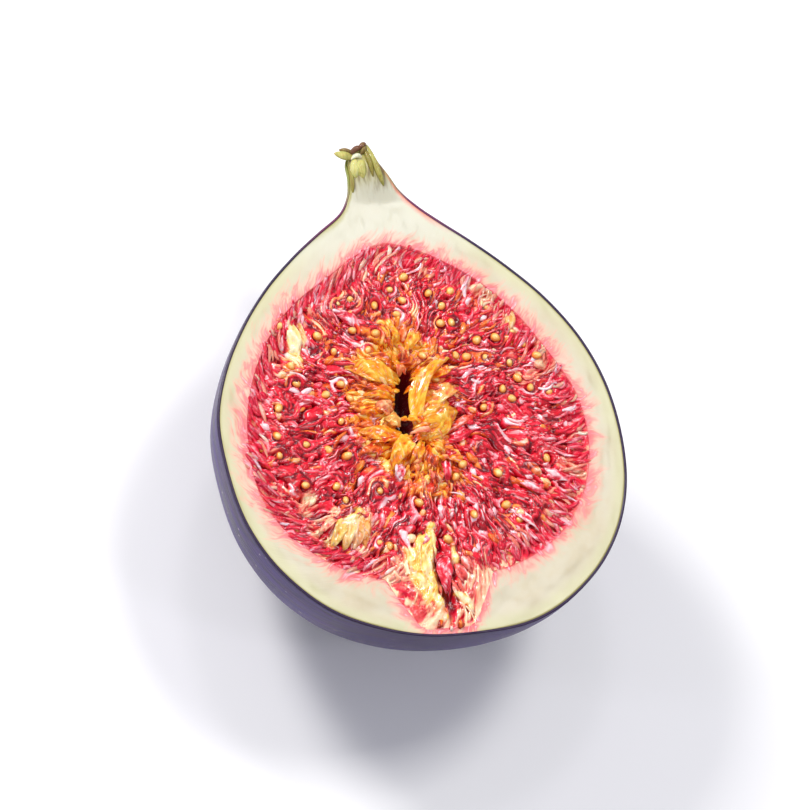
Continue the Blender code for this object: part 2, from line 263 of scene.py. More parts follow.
# bodies that taper to a tip at both ends: an ellipse across each path, rolled about it.
# ripple, if given, moves each ring point up by a function of its place.
# Their flow is the way round from below, a number of their own, and the way along, in millimetres
def taperedBodies(paths, halfWidths, halfHeights, roll, sides, ripple=None):
    ahead = unit(np.gradient(paths, axis=1))
    side = unit(np.cross(np.array([0.0, 0.0, 1.0]), ahead))
    up = np.cross(ahead, side)
    turn, lift = np.cos(roll)[..., None], np.sin(roll)[..., None]
    side, up = side * turn + up * lift, up * turn - side * lift
    angle = 2 * np.pi * np.arange(sides) / sides - np.pi / 2
    wide = side[:, 1:-1, None] * halfWidths[:, 1:-1, None, None] * np.cos(angle)[:, None]
    high = up[:, 1:-1, None] * halfHeights[:, 1:-1, None, None] * np.sin(angle)[:, None]
    rings = paths[:, 1:-1, None] + wide + high
    if ripple is not None:
        rings = rings + up[:, 1:-1, None] * ripple(rings)[..., None]
    bodies, count = rings.shape[:2]
    points = np.concatenate([rings.reshape(bodies, -1, 3), paths[:, [0, -1]]], 1)
    along = np.cumsum(np.linalg.norm(np.diff(paths, axis=1, prepend=paths[:, :1]), axis=-1), axis=1)
    flow = np.zeros((bodies, count, sides, 3))
    flow[..., 0] = (angle + np.pi / 2) * halfWidths[:, 1:-1, None]
    flow[..., 2] = along[:, 1:-1, None]
    ends = np.zeros((bodies, 2, 3))
    ends[..., 2] = along[:, [0, -1]]
    flow = np.concatenate([flow.reshape(bodies, -1, 3), ends], 1)
    flow[..., 1] = 7.3 * np.arange(bodies)[:, None]
    corner, far = np.arange(sides), (count - 1) * sides
    after = np.roll(corner, -1)
    tips = np.full((2, sides), count * sides) + [[0], [1]]
    tris = np.concatenate([np.stack([after, corner, tips[0]], -1), np.stack([corner + far, after + far, tips[1]], -1)])
    step = (np.arange(bodies) * (count * sides + 2))[:, None, None]
    return points, (loopQuads(count, sides) + step).reshape(-1, 4), (tris + step).reshape(-1, 3), flow


# one value for each point of tapered bodies, from a value for each step of their paths
def spreadValues(steps, sides):
    inner = np.repeat(steps[:, 1:-1], sides, axis=1)
    return np.concatenate([inner, steps[:, [0, -1]]], 1)


# Shader maker

class Wire:
    # a node's output that Python arithmetic turns into Math nodes
    def __init__(self, look, socket):
        self.look = look
        self.socket = socket

    def __add__(self, other):
        return self.look.sum("ADD", self, other)

    def __sub__(self, other):
        return self.look.sum("SUBTRACT", self, other)

    def __rsub__(self, other):
        return self.look.sum("SUBTRACT", other, self)

    def __mul__(self, other):
        return self.look.sum("MULTIPLY", self, other)

    __radd__ = __add__
    __rmul__ = __mul__


class Look:
    # a material: its shader's fixed values, and a method for each kind of node that it uses
    def __init__(self, name, constants):
        self.material = bpy.data.materials.new(name)
        self.material.use_nodes = True
        self.tree = self.material.node_tree
        self.shader = self.tree.nodes["Principled BSDF"]
        for label, value in constants.items():
            self.shader.inputs[label].default_value = value

    # any node: its type, its settings, then the values or wires of its sockets
    def node(self, kind, settings, sockets, output=0):
        made = self.tree.nodes.new(kind)
        stops = settings.pop("stops", None)
        for label, value in settings.items():
            setattr(made, label, value)
        if stops:
            ramp = made.color_ramp.elements
            while len(ramp) < len(stops):
                ramp.new(1.0)
            for element, (place, colour) in zip(ramp, stops):
                element.position = place
                element.color = (*colour, 1.0)
        for label, value in sockets.items():
            if isinstance(value, Wire):
                self.tree.links.new(value.socket, made.inputs[label])
            else:
                made.inputs[label].default_value = value
        return Wire(self, made.outputs[output])

    def sum(self, operation, a, b):
        return self.node("ShaderNodeMath", {"operation": operation}, {0: a, 1: b})

    def step(self, value, low, high):
        sockets = {"Value": value, "From Min": low, "From Max": high}
        return self.node("ShaderNodeMapRange", {"interpolation_type": "SMOOTHSTEP"}, sockets)

    def blend(self, factor, a, b):
        def full(colour):
            return colour if isinstance(colour, Wire) else (*colour, 1.0)
        return self.node("ShaderNodeMix", {"data_type": "RGBA"}, {0: factor, 6: full(a), 7: full(b)}, 2)

    def ramp(self, value, stops):
        return self.node("ShaderNodeValToRGB", {"stops": stops}, {0: value})

    def value(self, label):
        return self.node("ShaderNodeAttribute", {"attribute_name": label}, {}, "Fac")

    # the piece's own place, in millimetres
    def place(self):
        spot = self.node("ShaderNodeTexCoord", {}, {}, "Object")
        return self.stretched(spot, (1000, 1000, 1000))

    def stretched(self, vector, scale):
        return self.node("ShaderNodeMapping", {}, {"Vector": vector, "Scale": scale})

    def noise(self, vector, size, detail=2.0, rough=0.5, output=0):
        sockets = {"Vector": vector, "Scale": 1 / size, "Detail": detail, "Roughness": rough}
        return self.node("ShaderNodeTexNoise", {}, sockets, output)

    def wires(self, **wires):
        for label, wire in wires.items():
            self.tree.links.new(wire.socket, self.shader.inputs[label.replace("_", " ")])
        return self.material

    def bump(self, height, distance):
        return self.node("ShaderNodeBump", {}, {"Height": height, "Distance": distance / 1000})


# linear colour from the 0 to 255 values that a picture shows
def shown(red, green, blue):
    parts = np.array([red, green, blue]) / 255
    return tuple(np.where(parts <= 0.04045, parts / 12.92, ((parts + 0.055) / 1.055) ** 2.4).tolist())


# Skin

skin = {
    "thickness": 0.34,
    "neckThickness": 0.26,
    "thinning": (27, 33),    # where it goes from the one to the other
    "lip": 0.04,             # how far the cut edge stands above the cut
    "chartLength": 40.0,     # along the fruit, for one unit of the skin's chart
    "steps": 200,
    "turns": 150,
    "innerTurns": 40,
    "deep": shown(24, 12, 36),
    "plum": shown(66, 42, 96),
    "wine": shown(88, 34, 84),
    "bloom": shown(98, 90, 146),
    "speck": shown(205, 190, 190),
    "neckGreen": shown(150, 158, 70),
    "neckBlush": shown(118, 42, 84),
    "cut": shown(44, 24, 62),
}


# the skin's surface: a turned outline, its radius swelled by faint ribs, flat where it meets the table
def skinPoints(t, turn, inset):
    along, middle, half = np.moveaxis(outlineAt(t), -1, 0)
    slope = outlineAt(np.minimum(t + 1e-3, 1)) - outlineAt(np.maximum(t - 1e-3, 0))
    length = np.maximum(np.hypot(slope[..., 0], slope[..., 2]), 1e-9)
    along = along + inset * slope[..., 2] / length
    half = np.maximum(half - inset * slope[..., 0] / length, 0)
    neck = np.clip((along - fruit["neckFrom"]) / fruit["neckLength"], 0, 1) ** 2
    depth = fruit["ribShareBody"] + (fruit["ribShareNeck"] - fruit["ribShareBody"]) * neck
    few, some, many = fruit["ribCounts"]
    ribs = 0.6 * np.cos(few * turn + 0.7) + 0.4 * np.cos(some * turn + 2.1) + 0.25 * np.cos(many * turn)
    radius = half * (1 + depth * ribs * np.abs(np.sin(turn)) ** 0.5)
    up = -fruit["depthShare"] * radius * np.sin(turn)
    points = np.stack([middle + radius * np.cos(turn), along, up], -1)
    points[..., 2] = np.maximum(points[..., 2], -fruit["cutHeight"] + inset)
    return points


# the skin's thickness, less on the neck and stalk
def skinInset(t):
    neck = smoothStep(outlineAt(t)[..., 0], *skin["thinning"])
    return skin["thickness"] + (skin["neckThickness"] - skin["thickness"]) * neck


def skinFinish():
    look = Look("purpleSkin", {
        "Subsurface Weight": 0.04, "Subsurface Scale": 0.001, "Specular IOR Level": 0.35,
        "Sheen Weight": 0.06, "Sheen Roughness": 0.4, "Sheen Tint": (0.5, 0.5, 1.0, 1.0),
        "Coat Weight": 0.1, "Coat Roughness": 0.2,
    })
    place = look.place()
    chart = look.node("ShaderNodeUVMap", {"uv_map": "skinMap"}, {})
    streaks = look.noise(look.stretched(chart, (60, 2.6, 1)), 1.0, 4.0, 0.6)
    fineStreaks = look.noise(look.stretched(chart, (220, 12, 1)), 1.0, 3.0, 0.6)
    clouds = look.noise(place, 14.0, 4.0, 0.6)
    grain = look.noise(place, 0.7, 3.0, 0.6)
    along = look.value("alongFruit")
    dust = look.step(clouds * 0.8 + streaks * 0.7 + grain * 0.25, 0.72, 1.15)
    streaky = look.step(streaks * 0.75 + fineStreaks * 0.55, 0.48, 0.82)
    colour = look.blend(streaky, skin["deep"], skin["plum"])
    colour = look.blend(look.step(fineStreaks + clouds * 0.4, 0.66, 0.9) * 0.5, colour, skin["wine"])
    colour = look.blend(dust * 0.6, colour, skin["bloom"])
    # pale pores, a few of the cells of a pattern drawn out along the fruit
    cells = look.stretched(chart, (58, 26, 1))
    spots = look.node("ShaderNodeTexVoronoi", {}, {"Vector": cells, "Scale": 1.0}, "Distance")
    kinds = look.node("ShaderNodeTexVoronoi", {}, {"Vector": cells, "Scale": 1.0}, "Color")
    chosen = look.step(look.node("ShaderNodeSeparateColor", {}, {0: kinds}), 0.55, 0.6)
    pores = (1 - look.step(spots, 0.07, 0.15)) * chosen
    colour = look.blend(pores * 0.75, colour, skin["speck"])
    wander = streaks * 5 + along
    colour = look.blend(look.step(wander, 25.0, 31.0) * 0.75, colour, skin["neckBlush"])
    colour = look.blend(look.step(wander, 33.0, 38.0), colour, skin["neckGreen"])
    # the cut edge of the skin is darker than its face
    colour = look.blend(look.value("cutEdge") * (1 - look.step(along, 22, 30)), colour, skin["cut"])
    height = fineStreaks * 0.5 + streaks * 0.6 + grain * 0.22 + pores * 0.3
    return look.wires(Base_Color=colour, Roughness=0.36 + dust * 0.3, Normal=look.bump(height, 0.16))


def makeSkin():
    t = np.linspace(0, 1, skin["steps"])[:, None]
    outerTurns = np.linspace(0, np.pi, skin["turns"])[None]
    innerTurns = np.linspace(np.pi, 0, skin["innerTurns"])[None]
    outer = skinPoints(t + 0 * outerTurns, outerTurns + 0 * t, 0.0 * t)
    inner = skinPoints(t + 0 * innerTurns, innerTurns + 0 * t, skinInset(t))
    grid = np.concatenate([outer, inner], 1)
    grid[:, [0, skin["turns"] - 1, skin["turns"], -1], 2] += skin["lip"]
    edge = np.zeros(grid.shape[:2])
    edge[:, [0, skin["turns"] - 1]] = 1
    edge[:, skin["turns"]:] = 1
    piece = closedSurface("figSkin", grid, skinFinish(), {"alongFruit": grid[..., 1], "cutEdge": edge})
    # the chart: turn about the axis, then place along it
    corners = np.zeros(len(piece.data.vertices) * 3)
    piece.data.vertices.foreach_get("co", corners)
    across, along, up = corners.reshape(-1, 3).T * 1000 - np.array([[*fruit["shift"], fruit["cutHeight"]]]).T
    middle = girthAt(along)[0]
    chart = np.stack([np.arctan2(-up, across - middle) / np.pi, along / skin["chartLength"]], -1)
    loops = np.zeros(len(piece.data.loops), np.int32)
    piece.data.loops.foreach_get("vertex_index", loops)
    piece.data.uv_layers.new(name="skinMap").data.foreach_set("uv", chart[loops].astype(np.float32).ravel())
    return piece


# Flesh

flesh = {
    "sideSteps": 170,
    "cupSteps": 16,
    "ringSteps": 34,
    "underSteps": 22,
    "pulpOverlap": 0.5,          # how far the flesh runs in under the pulp's edge
    "underGap": 0.25,            # between the underside and the skin
    "bumps": ((0.035, 4.5, 3), (0.01, 1.4, 4)),    # height, size, seed
    "cream": shown(189, 180, 152),
    "warm": shown(187, 171, 132),
    "green": shown(186, 184, 132),
    "line": shown(166, 156, 90),
    "neckPale": shown(198, 198, 179),
    "stalk": shown(158, 150, 66),
    "stalkBrown": shown(112, 92, 46),
    "rosy": shown(226, 126, 106),
    "stalkRound": 0.5,           # height of the stalk's round back, as a share of its half width
    "stalkSpan": (30.5, 38.0),   # where that starts, and where it is full
}


# how far the stalk's end rises above the cut: a low round back that starts past the neck
def stalkRise(across, along):
    middle, half = girthAt(along)
    across = (across - middle) / np.maximum(half, 0.05)
    return flesh["stalkRound"] * half * smoothStep(along, *flesh["stalkSpan"]) * np.sqrt(np.clip(1 - across ** 2, 0, 1))


def fleshFinish():
    look = Look("creamFlesh", {
        "Subsurface Weight": 0.12, "Subsurface Radius": (1.0, 0.75, 0.45), "Subsurface Scale": 0.0008,
        "Coat Weight": 0.25, "Coat Roughness": 0.2, "IOR": 1.4,
    })
    place, flow = look.place(), look.node("ShaderNodeAttribute", {"attribute_name": "flow"}, {}, "Vector")
    inside, fromSkin, along = look.value("inside"), look.value("fromSkin"), look.value("alongFruit")
    strands = streaksOf(look, flow, 0.5, 5.0, 3.0, 0.6)
    clouds = look.noise(place, 6.0, 3.0, 0.55)
    mottle = look.noise(place, 1.3, 3.0, 0.6)
    colour = look.blend(look.step(clouds + (mottle - 0.5) * 0.4, 0.3, 0.8) * 0.7, flesh["cream"], flesh["warm"])
    nearSkin = 1 - look.step(fromSkin + (clouds - 0.5) * 2.0 + (mottle - 0.5) * 1.2, 0.2, 2.4)
    colour = look.blend(nearSkin * 0.75, colour, flesh["green"])
    colour = look.blend((1 - look.step(fromSkin, 0.1, 0.5)) * 0.6, colour, flesh["line"])
    colour = look.blend(look.step(along + clouds * 3, 22, 29) * 0.8, colour, flesh["neckPale"])
    colour, _ = featherOver(look, colour, inside, flow, place, feathers["fleshShade"])
    # by the neck, an olive edge at the left and a rosy one at the right
    side = look.node("ShaderNodeSeparateXYZ", {}, {0: place})
    edge = (1 - look.step(fromSkin + (mottle - 0.5) * 0.6, 0.2, 1.1)) * look.step(along + clouds * 3, 26.5, 31.0)
    colour = look.blend(edge * (1 - look.step(side, -0.6, 0.6)) * 0.8, colour, flesh["stalk"])
    colour = look.blend(edge * look.step(side, 0.8, 2.0) * 0.8, colour, flesh["rosy"])
    # the stalk: olive with brown furrows that fade into the flesh
    furrows = look.noise(look.stretched(place, (2.0, 0.14, 2.0)), 1.0, 2.0, 0.5)
    stalk = look.blend(look.step(furrows, 0.42, 0.66), flesh["stalk"], flesh["stalkBrown"])
    colour = look.blend(look.step(along + furrows * 5, 34.6, 38.6) * 0.9, colour, stalk)
    height = strands * 0.3 + clouds * 0.3 + mottle * 0.3
    return look.wires(Base_Color=colour, Roughness=0.3 + clouds * 0.2, Normal=look.bump(height, 0.06))


# the outline's points as one loop, counter-clockwise from the base, just past the skin's inner face
def outlineLoop():
    t = np.linspace(0, 1, flesh["sideSteps"])
    inset = skinInset(t) - 0.03
    back = slice(-2, 0, -1)
    rightSide = skinPoints(t, 0 * t, inset)
    leftSide = skinPoints(t[back], np.pi + 0 * t[back], inset[back])
    return np.concatenate([rightSide, leftSide])[:, :2]


def makeFlesh():
    skinLine = outlineLoop()
    angle = np.arctan2(skinLine[:, 1], skinLine[:, 0])
    radius = np.minimum(rimWithEye(angle), np.linalg.norm(skinLine, axis=1) - 0.2)
    pulpEdge = polar(radius, angle)
    pulpLine = pulpEdge * (1 - flesh["pulpOverlap"] / radius[:, None])
    # the cup that holds the pulp, from its floor up to the pulp's edge
    rise = np.linspace(0, 0.5 * np.pi, flesh["cupSteps"])[:, None]
    cup = np.concatenate([pulpLine[None] * np.sin(rise)[..., None],
                          -0.15 - pulpShape["cupDepth"] * np.cos(rise)[..., None] + 0 * pulpLine[None, :, :1]], -1)
    # the cut ring, from the pulp to the skin
    share = (np.linspace(0, 1, flesh["ringSteps"])[1:] ** 1.2)[:, None, None]
    flat = pulpLine + (skinLine - pulpLine) * share
    up = sum(height * softNoise(flat, size, seed) for height, size, seed in flesh["bumps"])
    up = up * np.sin(np.pi * share[..., 0]) ** 0.5 + stalkRise(flat[..., 0], flat[..., 1])
    up[0] -= 0.1
    ring = np.concatenate([flat, up[..., None]], -1)
    # the underside, just inside the skin
    draw = np.cos(np.linspace(0, 0.5 * np.pi, flesh["underSteps"])[1:])[:, None, None]
    below = skinLine * draw
    middle, half = girthAt(below[..., 1])
    half = half * (1 - 0.07 * smoothStep(below[..., 1], 12, 24)) - flesh["underGap"]
    deep = np.sqrt(np.maximum(half ** 2 - (below[..., 0] - middle) ** 2, 0)) * fruit["depthShare"]
    under = np.concatenate([below, -np.clip(deep, 0.2, fruit["cutHeight"] - 0.3)[..., None]], -1)
    grid = np.concatenate([cup, ring, under])
    inside = np.linalg.norm(pulpEdge, axis=-1) - np.linalg.norm(grid[..., :2], axis=-1)
    fromSkin = np.linalg.norm(grid[..., :2] - skinLine, axis=-1)
    flow = flowAt(angle - leanAt(angle, np.clip(inside, -6, 6)), inside)
    values = {"inside": inside, "fromSkin": fromSkin, "alongFruit": grid[..., 1], "flow": flow}
    return closedSurface("figFlesh", grid, fleshFinish(), values)


# Pulp

pulpColours = {
    "wine": shown(92, 0, 18),
    "crimson": shown(164, 0, 26),
    "red": shown(226, 12, 40),
    "rose": shown(236, 48, 74),
    "pink": shown(248, 146, 156),
    "pale": shown(254, 222, 226),
    # maroon: the painted shade of deep places
    "maroon": shown(70, 0, 14),
    "umber": shown(120, 12, 6),
    "rust": shown(196, 48, 6),
    "orange": shown(236, 108, 14),
    "amber": shown(250, 156, 26),
    "gold": shown(254, 194, 62),
    "straw": shown(255, 224, 134),
    "ivory": shown(255, 242, 196),
    "border": shown(228, 22, 58),
    "coral": shown(240, 96, 90),
    "blush": shown(244, 166, 142),
    "peach": shown(253, 188, 148),
}

pulpRamps = {
    # colours from the dark creases to the pale crests
    "reds": ((0.07, "wine"), (0.27, "crimson"), (0.5, "red"), (0.69, "rose"), (0.84, "pink"), (0.98, "pale")),
    "ambers": ((0.0, "umber"), (0.2, "rust"), (0.38, "orange"), (0.58, "amber"), (0.8, "gold"), (1.0, "straw")),
    "yellows": ((0.0, "orange"), (0.2, "gold"), (0.5, "straw"), (0.9, "ivory")),
    "peaches": ((0.0, "red"), (0.28, "coral"), (0.6, "peach"), (1.04, "ivory")),
    "feathers": ((0.44, "border"), (0.52, "rose"), (0.62, "pink"), (0.72, "pale")),
}

pulpPatches = {
    # places of each kind, as drops: across, along and reach at one end, then at the other
    "yellow": (
        (-15.4, 10.2, 0.9, -14.9, 15.2, 0.5), (-16.0, -15.9, 0.7, -11.2, -12.2, 0.8),
        (16.1, 12.2, 1.0, 15.4, 13.4, 0.5), (12.8, 15.6, 0.5, 13.4, 14.8, 0.5),
        (1.2, -16.4, 0.2, 1.0, -20.4, 0.45),
    ),
    "leaf": (
        (-1.5, -15.0, 0.5, -3.9, -19.6, 2.3), (-3.9, -19.6, 2.3, -3.3, -24.6, 1.5),
        (0.3, -24.8, 0.5, 1.8, -26.4, 0.6), (-3.2, -24.4, 0.9, -2.0, -28.4, 0.6),
    ),
    "peach": (
        (-3.8, -16.6, 0.5, -7.0, -20.8, 1.5), (-7.0, -20.8, 1.5, -4.6, -27.2, 1.2),
        (-3.4, -24.8, 1.0, -2.2, -28.6, 0.9), (4.8, -22.6, 1.6, 1.0, -28.2, 1.9),
        (3.4, -20.6, 0.8, 2.4, -24.6, 1.3), (-6.2, -21.4, 1.8, -3.8, -27.8, 1.9),
        (-8.4, -21.8, 1.3, -5.8, -28.2, 1.6), (-17.6, -14.0, 1.0, -13.8, -11.6, 0.8),
        (-11.6, -16.8, 1.0, -9.9, -12.2, 0.8), (-18.4, -10.8, 1.0, -17.0, -9.0, 0.9),
        (19.8, 9.6, 1.0, 18.8, 6.4, 0.8), (12.0, 17.6, 0.8, 14.0, 16.0, 0.8), (20.8, -9.6, 1.0, 19.0, -8.0, 0.8),
        (17.6, 5.0, 0.8, 15.8, 3.6, 0.6),
    ),
    "pale": (
        (-7.8, 15.6, 0.8, -5.6, 14.4, 0.9), (18.2, -10.4, 0.9, 16.2, -8.8, 1.0),
        (17.2, -4.4, 1.0, 15.0, -3.8, 0.8), (14.4, -11.8, 0.8, 12.8, -10.6, 0.8),
        (-15.6, 4.2, 0.8, -13.6, 3.6, 0.7), (-10.7, 3.4, 0.9, -9.6, 2.8, 0.6),
        (12.2, -16.2, 1.0, 11.0, -14.8, 1.0), (6.6, -11.4, 0.9, 6.0, -9.8, 0.6),
        (-13.6, -5.8, 0.8, -11.8, -5.0, 0.8), (-8.4, -7.6, 0.7, -7.2, -6.6, 0.8),
        (10.4, -5.8, 0.8, 8.8, -5.0, 0.8), (14.8, 1.0, 0.7, 13.2, 0.8, 0.6), (-9.2, 15.8, 0.8, -8.4, 14.6, 0.6),
        (3.2, 14.4, 0.8, 3.0, 13.0, 0.5), (-19.0, 0.9, 0.8, -17.4, 0.8, 0.6), (0.4, -11.2, 0.9, 0.2, -9.6, 0.6),
        (5.4, -17.8, 1.0, 5.0, -16.0, 0.8), (19.2, -1.4, 0.8, 18.0, -1.2, 0.6),
    ),
    # how far the amber reaches from the slit, and the side that it favours
    "amberReach": 6.3,
    "amberSide": math.radians(195.0),
    "amberLean": 1.6,
}


# 0 to 1: how amber the pulp is, from the distance to the slit
def amberAt(points, angle, away):
    reach = pulpPatches["amberReach"] + pulpPatches["amberLean"] * np.cos(angle - pulpPatches["amberSide"])
    return smoothStep(reach - away + 1.5 * softNoise(points[..., :2], 3.4, 21), -1.5, 1.5)


# 0 to 1: how near a place is to a kind of patch, each a drop round a line
def patchAt(points, kind):
    found = np.zeros(points.shape[:-1])
    wander = 0.35 * softNoise(points[..., :2], 2.2, 22)
    for row in pulpPatches[kind]:
        start, startReach, end, endReach = np.array(row[:2]), row[2], np.array(row[3:5]), row[5]
        line = end - start
        share = np.clip(((points[..., :2] - start) @ line) / (line @ line), 0, 1)
        away = np.linalg.norm(points[..., :2] - start - share[..., None] * line, axis=-1)
        reach = startReach + (endReach - startReach) * share
        found = np.maximum(found, smoothStep(reach * 1.25 + wander * np.minimum(1, reach) - away, 0, reach * 0.6))
    return found


# the values that every wet piece carries: those given, and the rest as in the middle of the red
def wetValues(shape, given):
    usual = {"blush": 0.5, "amber": 0, "yellow": 0, "peach": 0, "lit": 1, "inside": 9, "depth": 0}
    return {label: np.zeros(shape) + given.get(label, value) for label, value in usual.items()}


# tapered bodies of wet flesh, with the values given for each step of their paths
def wetBodies(flat, up, widths, heights, roll, sides, given, ripple=None):
    paths = np.concatenate([flat, up[..., None]], -1)
    points, quads, tris, flow = taperedBodies(paths, widths, heights, roll, sides, ripple)
    values = {label: spreadValues(value, sides) for label, value in wetValues(up.shape, given).items()}
    return points, quads, tris, {**values, "flow": flow}


# one of the pulp's colours, all its parts times a shade
def pulpColour(label, shade):
    return tuple(part * shade for part in pulpColours[label])


def pulpRamp(look, tone, kind, shade=1.0):
    return look.ramp(tone, [(place, pulpColour(label, shade)) for place, label in pulpRamps[kind]])


# the flow, pushed about by soft noise so that its streaks wander
def wandering(look, flow, place, size, amount):
    push = look.noise(place, size, 1.0, 0.5, "Color")
    push = look.node("ShaderNodeVectorMath", {"operation": "SUBTRACT"}, {0: push, 1: (0.5, 0.5, 0.5)})
    push = look.node("ShaderNodeVectorMath", {"operation": "SCALE"}, {0: push, "Scale": amount})
    return look.node("ShaderNodeVectorMath", {"operation": "ADD"}, {0: flow, 1: push})


# streaks that run with the flow: noise drawn out along it
def streaksOf(look, flow, across, along, detail=2.0, rough=0.5):
    return look.noise(look.stretched(flow, (1 / across, 1 / across, 1 / along)), 1.0, detail, rough)


feathers = {
    # over what size the streaks wander, and how far
    "wander": (4.0, 4.5),
    # broad and fine streaks: size across, size along, how far they reach
    "broad": (1.5, 4.5, 4.2),
    "fine": (0.5, 3.4, 3.0),
    "outward": 1.1,
    # where each colour begins and where it is full, inside the pulp's edge
    "blush": (-1.2, 0.2),
    "coral": (-0.2, 1.1),
    "streaks": (0.4, 1.8),
    "solid": (2.6, 5.2),
    # smooth flesh catches more light than folds do, so its streaks take a darker shade
    "fleshShade": 0.8,
}


# the feathered border, shared by flesh and pulp so that its streaks run on from one into the other.
# Gives the flesh's colour with the border over it, and how far a place is inside the solid red
def featherOver(look, colour, inside, flow, place, shade=1.0):
    bent = wandering(look, flow, place, *feathers["wander"])
    broad, fine = (streaksOf(look, bent, *feathers[label][:2]) for label in ("broad", "fine"))
    reach = inside + (broad - 0.5) * feathers["broad"][2] + (fine - 0.5) * feathers["fine"][2] + feathers["outward"]
    streaks = pulpRamp(look, fine * 0.7 + broad * 0.3, "feathers", shade)
    colour = look.blend(look.step(reach, *feathers["blush"]) * 0.5, colour, pulpColour("blush", shade))
    colour = look.blend(look.step(reach, *feathers["coral"]) * 0.85, colour, pulpColour("coral", shade))
    colour = look.blend(look.step(reach, *feathers["streaks"]), colour, streaks)
    return colour, look.step(reach, *feathers["solid"])


# wet flesh in several scales of colour, chosen by the piece's own values and cut by fine strands.
# Each piece gives its roughness, its coat, how much it glows, and its strands' height
def pulpFinish(name, roughness, coat, glow, relief):
    look = Look(name, {
        "Subsurface Weight": glow, "Subsurface Radius": (1.0, 0.2, 0.14), "Subsurface Scale": 0.0007,
        "Coat Roughness": 0.06, "Coat IOR": 1.5, "IOR": 1.4, "Specular IOR Level": 0.25, "Emission Strength": 0.09,
    })
    place, flow = look.place(), look.node("ShaderNodeAttribute", {"attribute_name": "flow"}, {}, "Vector")
    blush, amber, yellow, peach, lit, inside, depth = (
        look.value(label) for label in ("blush", "amber", "yellow", "peach", "lit", "inside", "depth"))
    outer, inner = streaksOf(look, flow, 0.45, 2.2, 3.0, 0.6), streaksOf(look, flow, 1.2, 2.6, 3.0, 0.6)
    strand = outer + (inner - outer) * look.step(depth, 0.35, 0.65)
    clouds = look.noise(place, 1.5, 2.0)
    grain = look.noise(place, 0.4, 2.0)
    tone = blush + (strand - 0.5) * 0.95 + (clouds - 0.5) * 0.35 + (grain - 0.5) * 0.25
    peaches = pulpRamp(look, tone, "peaches")
    colour = look.blend(amber, pulpRamp(look, tone, "reds"), pulpRamp(look, tone, "ambers"))
    colour = look.blend(peach, colour, peaches)
    colour = look.blend(yellow, colour, pulpRamp(look, tone, "yellows"))
    border, solid = featherOver(look, pulpColours["blush"], inside, flow, place)
    border = look.blend(peach * 0.8, border, peaches)
    colour = look.blend(solid, border, colour)
    glints = look.step(streaksOf(look, flow, 0.3, 0.8, 1.0), 0.62, 0.7) * solid
    colour = look.blend(glints * 0.45, colour, pulpColours["pale"])
    # painted shade: where the lit value is low, deep down, in creases and in the crack, the colour darkens toward
    # maroon
    dim = (1 - lit) * look.step(inside, 0.5, 3.5)
    colour = look.blend(dim * 0.9, colour, pulpColours["maroon"])
    # painted glow: the pulp gives off a faint red or orange light of its own where it is lit, standing in for light
    # that passes through the wet flesh
    through = look.blend(amber, pulpColours["red"], pulpColours["orange"])
    through = look.blend(solid * lit, (0.0, 0.0, 0.0), through)
    height = strand + clouds * 0.5 + grain * 0.3
    return look.wires(Base_Color=colour, Emission_Color=through, Roughness=roughness + clouds * 0.12,
                      Coat_Weight=solid * (coat - 0.3) + 0.3, Normal=look.bump(height, relief))


folds = {
    "around": 980,
    "steps": 92,
    # broad folds, then narrower ones, then slim strands between them
    "layers": (
        {"seed": 31, "rowGap": 2.3, "spacing": 1.7, "halfLength": (1.5, 2.6), "halfWidth": (0.6, 0.95),
         "height": (0.8, 1.25), "turn": 0.5, "bow": 1.0, "rise": -1.5},
        {"seed": 32, "rowGap": 1.5, "spacing": 1.15, "halfLength": (0.9, 1.8), "halfWidth": (0.36, 0.6),
         "height": (0.75, 1.15), "turn": 0.5, "bow": 0.6, "rise": -1.33},
        {"seed": 33, "rowGap": 2.1, "spacing": 1.5, "halfLength": (1.2, 2.4), "halfWidth": (0.18, 0.3),
         "height": (0.55, 0.9), "turn": 0.5, "bow": 0.9, "rise": -1.12},
    ),
    # how far they swirl, over what size, and a seed
    "swirls": ((1.0, 8.5, 35), (0.35, 3.0, 36)),
    "floor": -1.9,
    "creaseHeight": 0.2,
    # round each seed: how far off the lip lies and how wide it is, and how wide the pit is
    "seedLip": (0.95, 0.28),
    "seedPit": 0.62,
    "slitSteps": 8,
    "slitLip": 0.3,
    "slitFoot": (-0.6, 2.6),
    # rows of the underside: share of the way out to the edge, and height
    "underside": ((0, -20.9), (0.7, -12.0), (0.98, -1.5)),
    "finish": (0.22, 0.95, 0.3, 0.24),
    # along the middle of the eye's passage
    "crack": ((0.7, -14.8), (-0.6, -17.6), (-1.6, -20.2), (-1.3, -24.2), (-0.8, -26.0), (-1.3, -28.4)),
}


# length round the pulp at a share of the way in
def ringLength(share):
    return 2 * np.pi * pulpShape["meanRadius"] * (1 - share) + pulpShape["heartLoop"] * share


def between(pair, chance):
    return pair[0] + (pair[1] - pair[0]) * chance


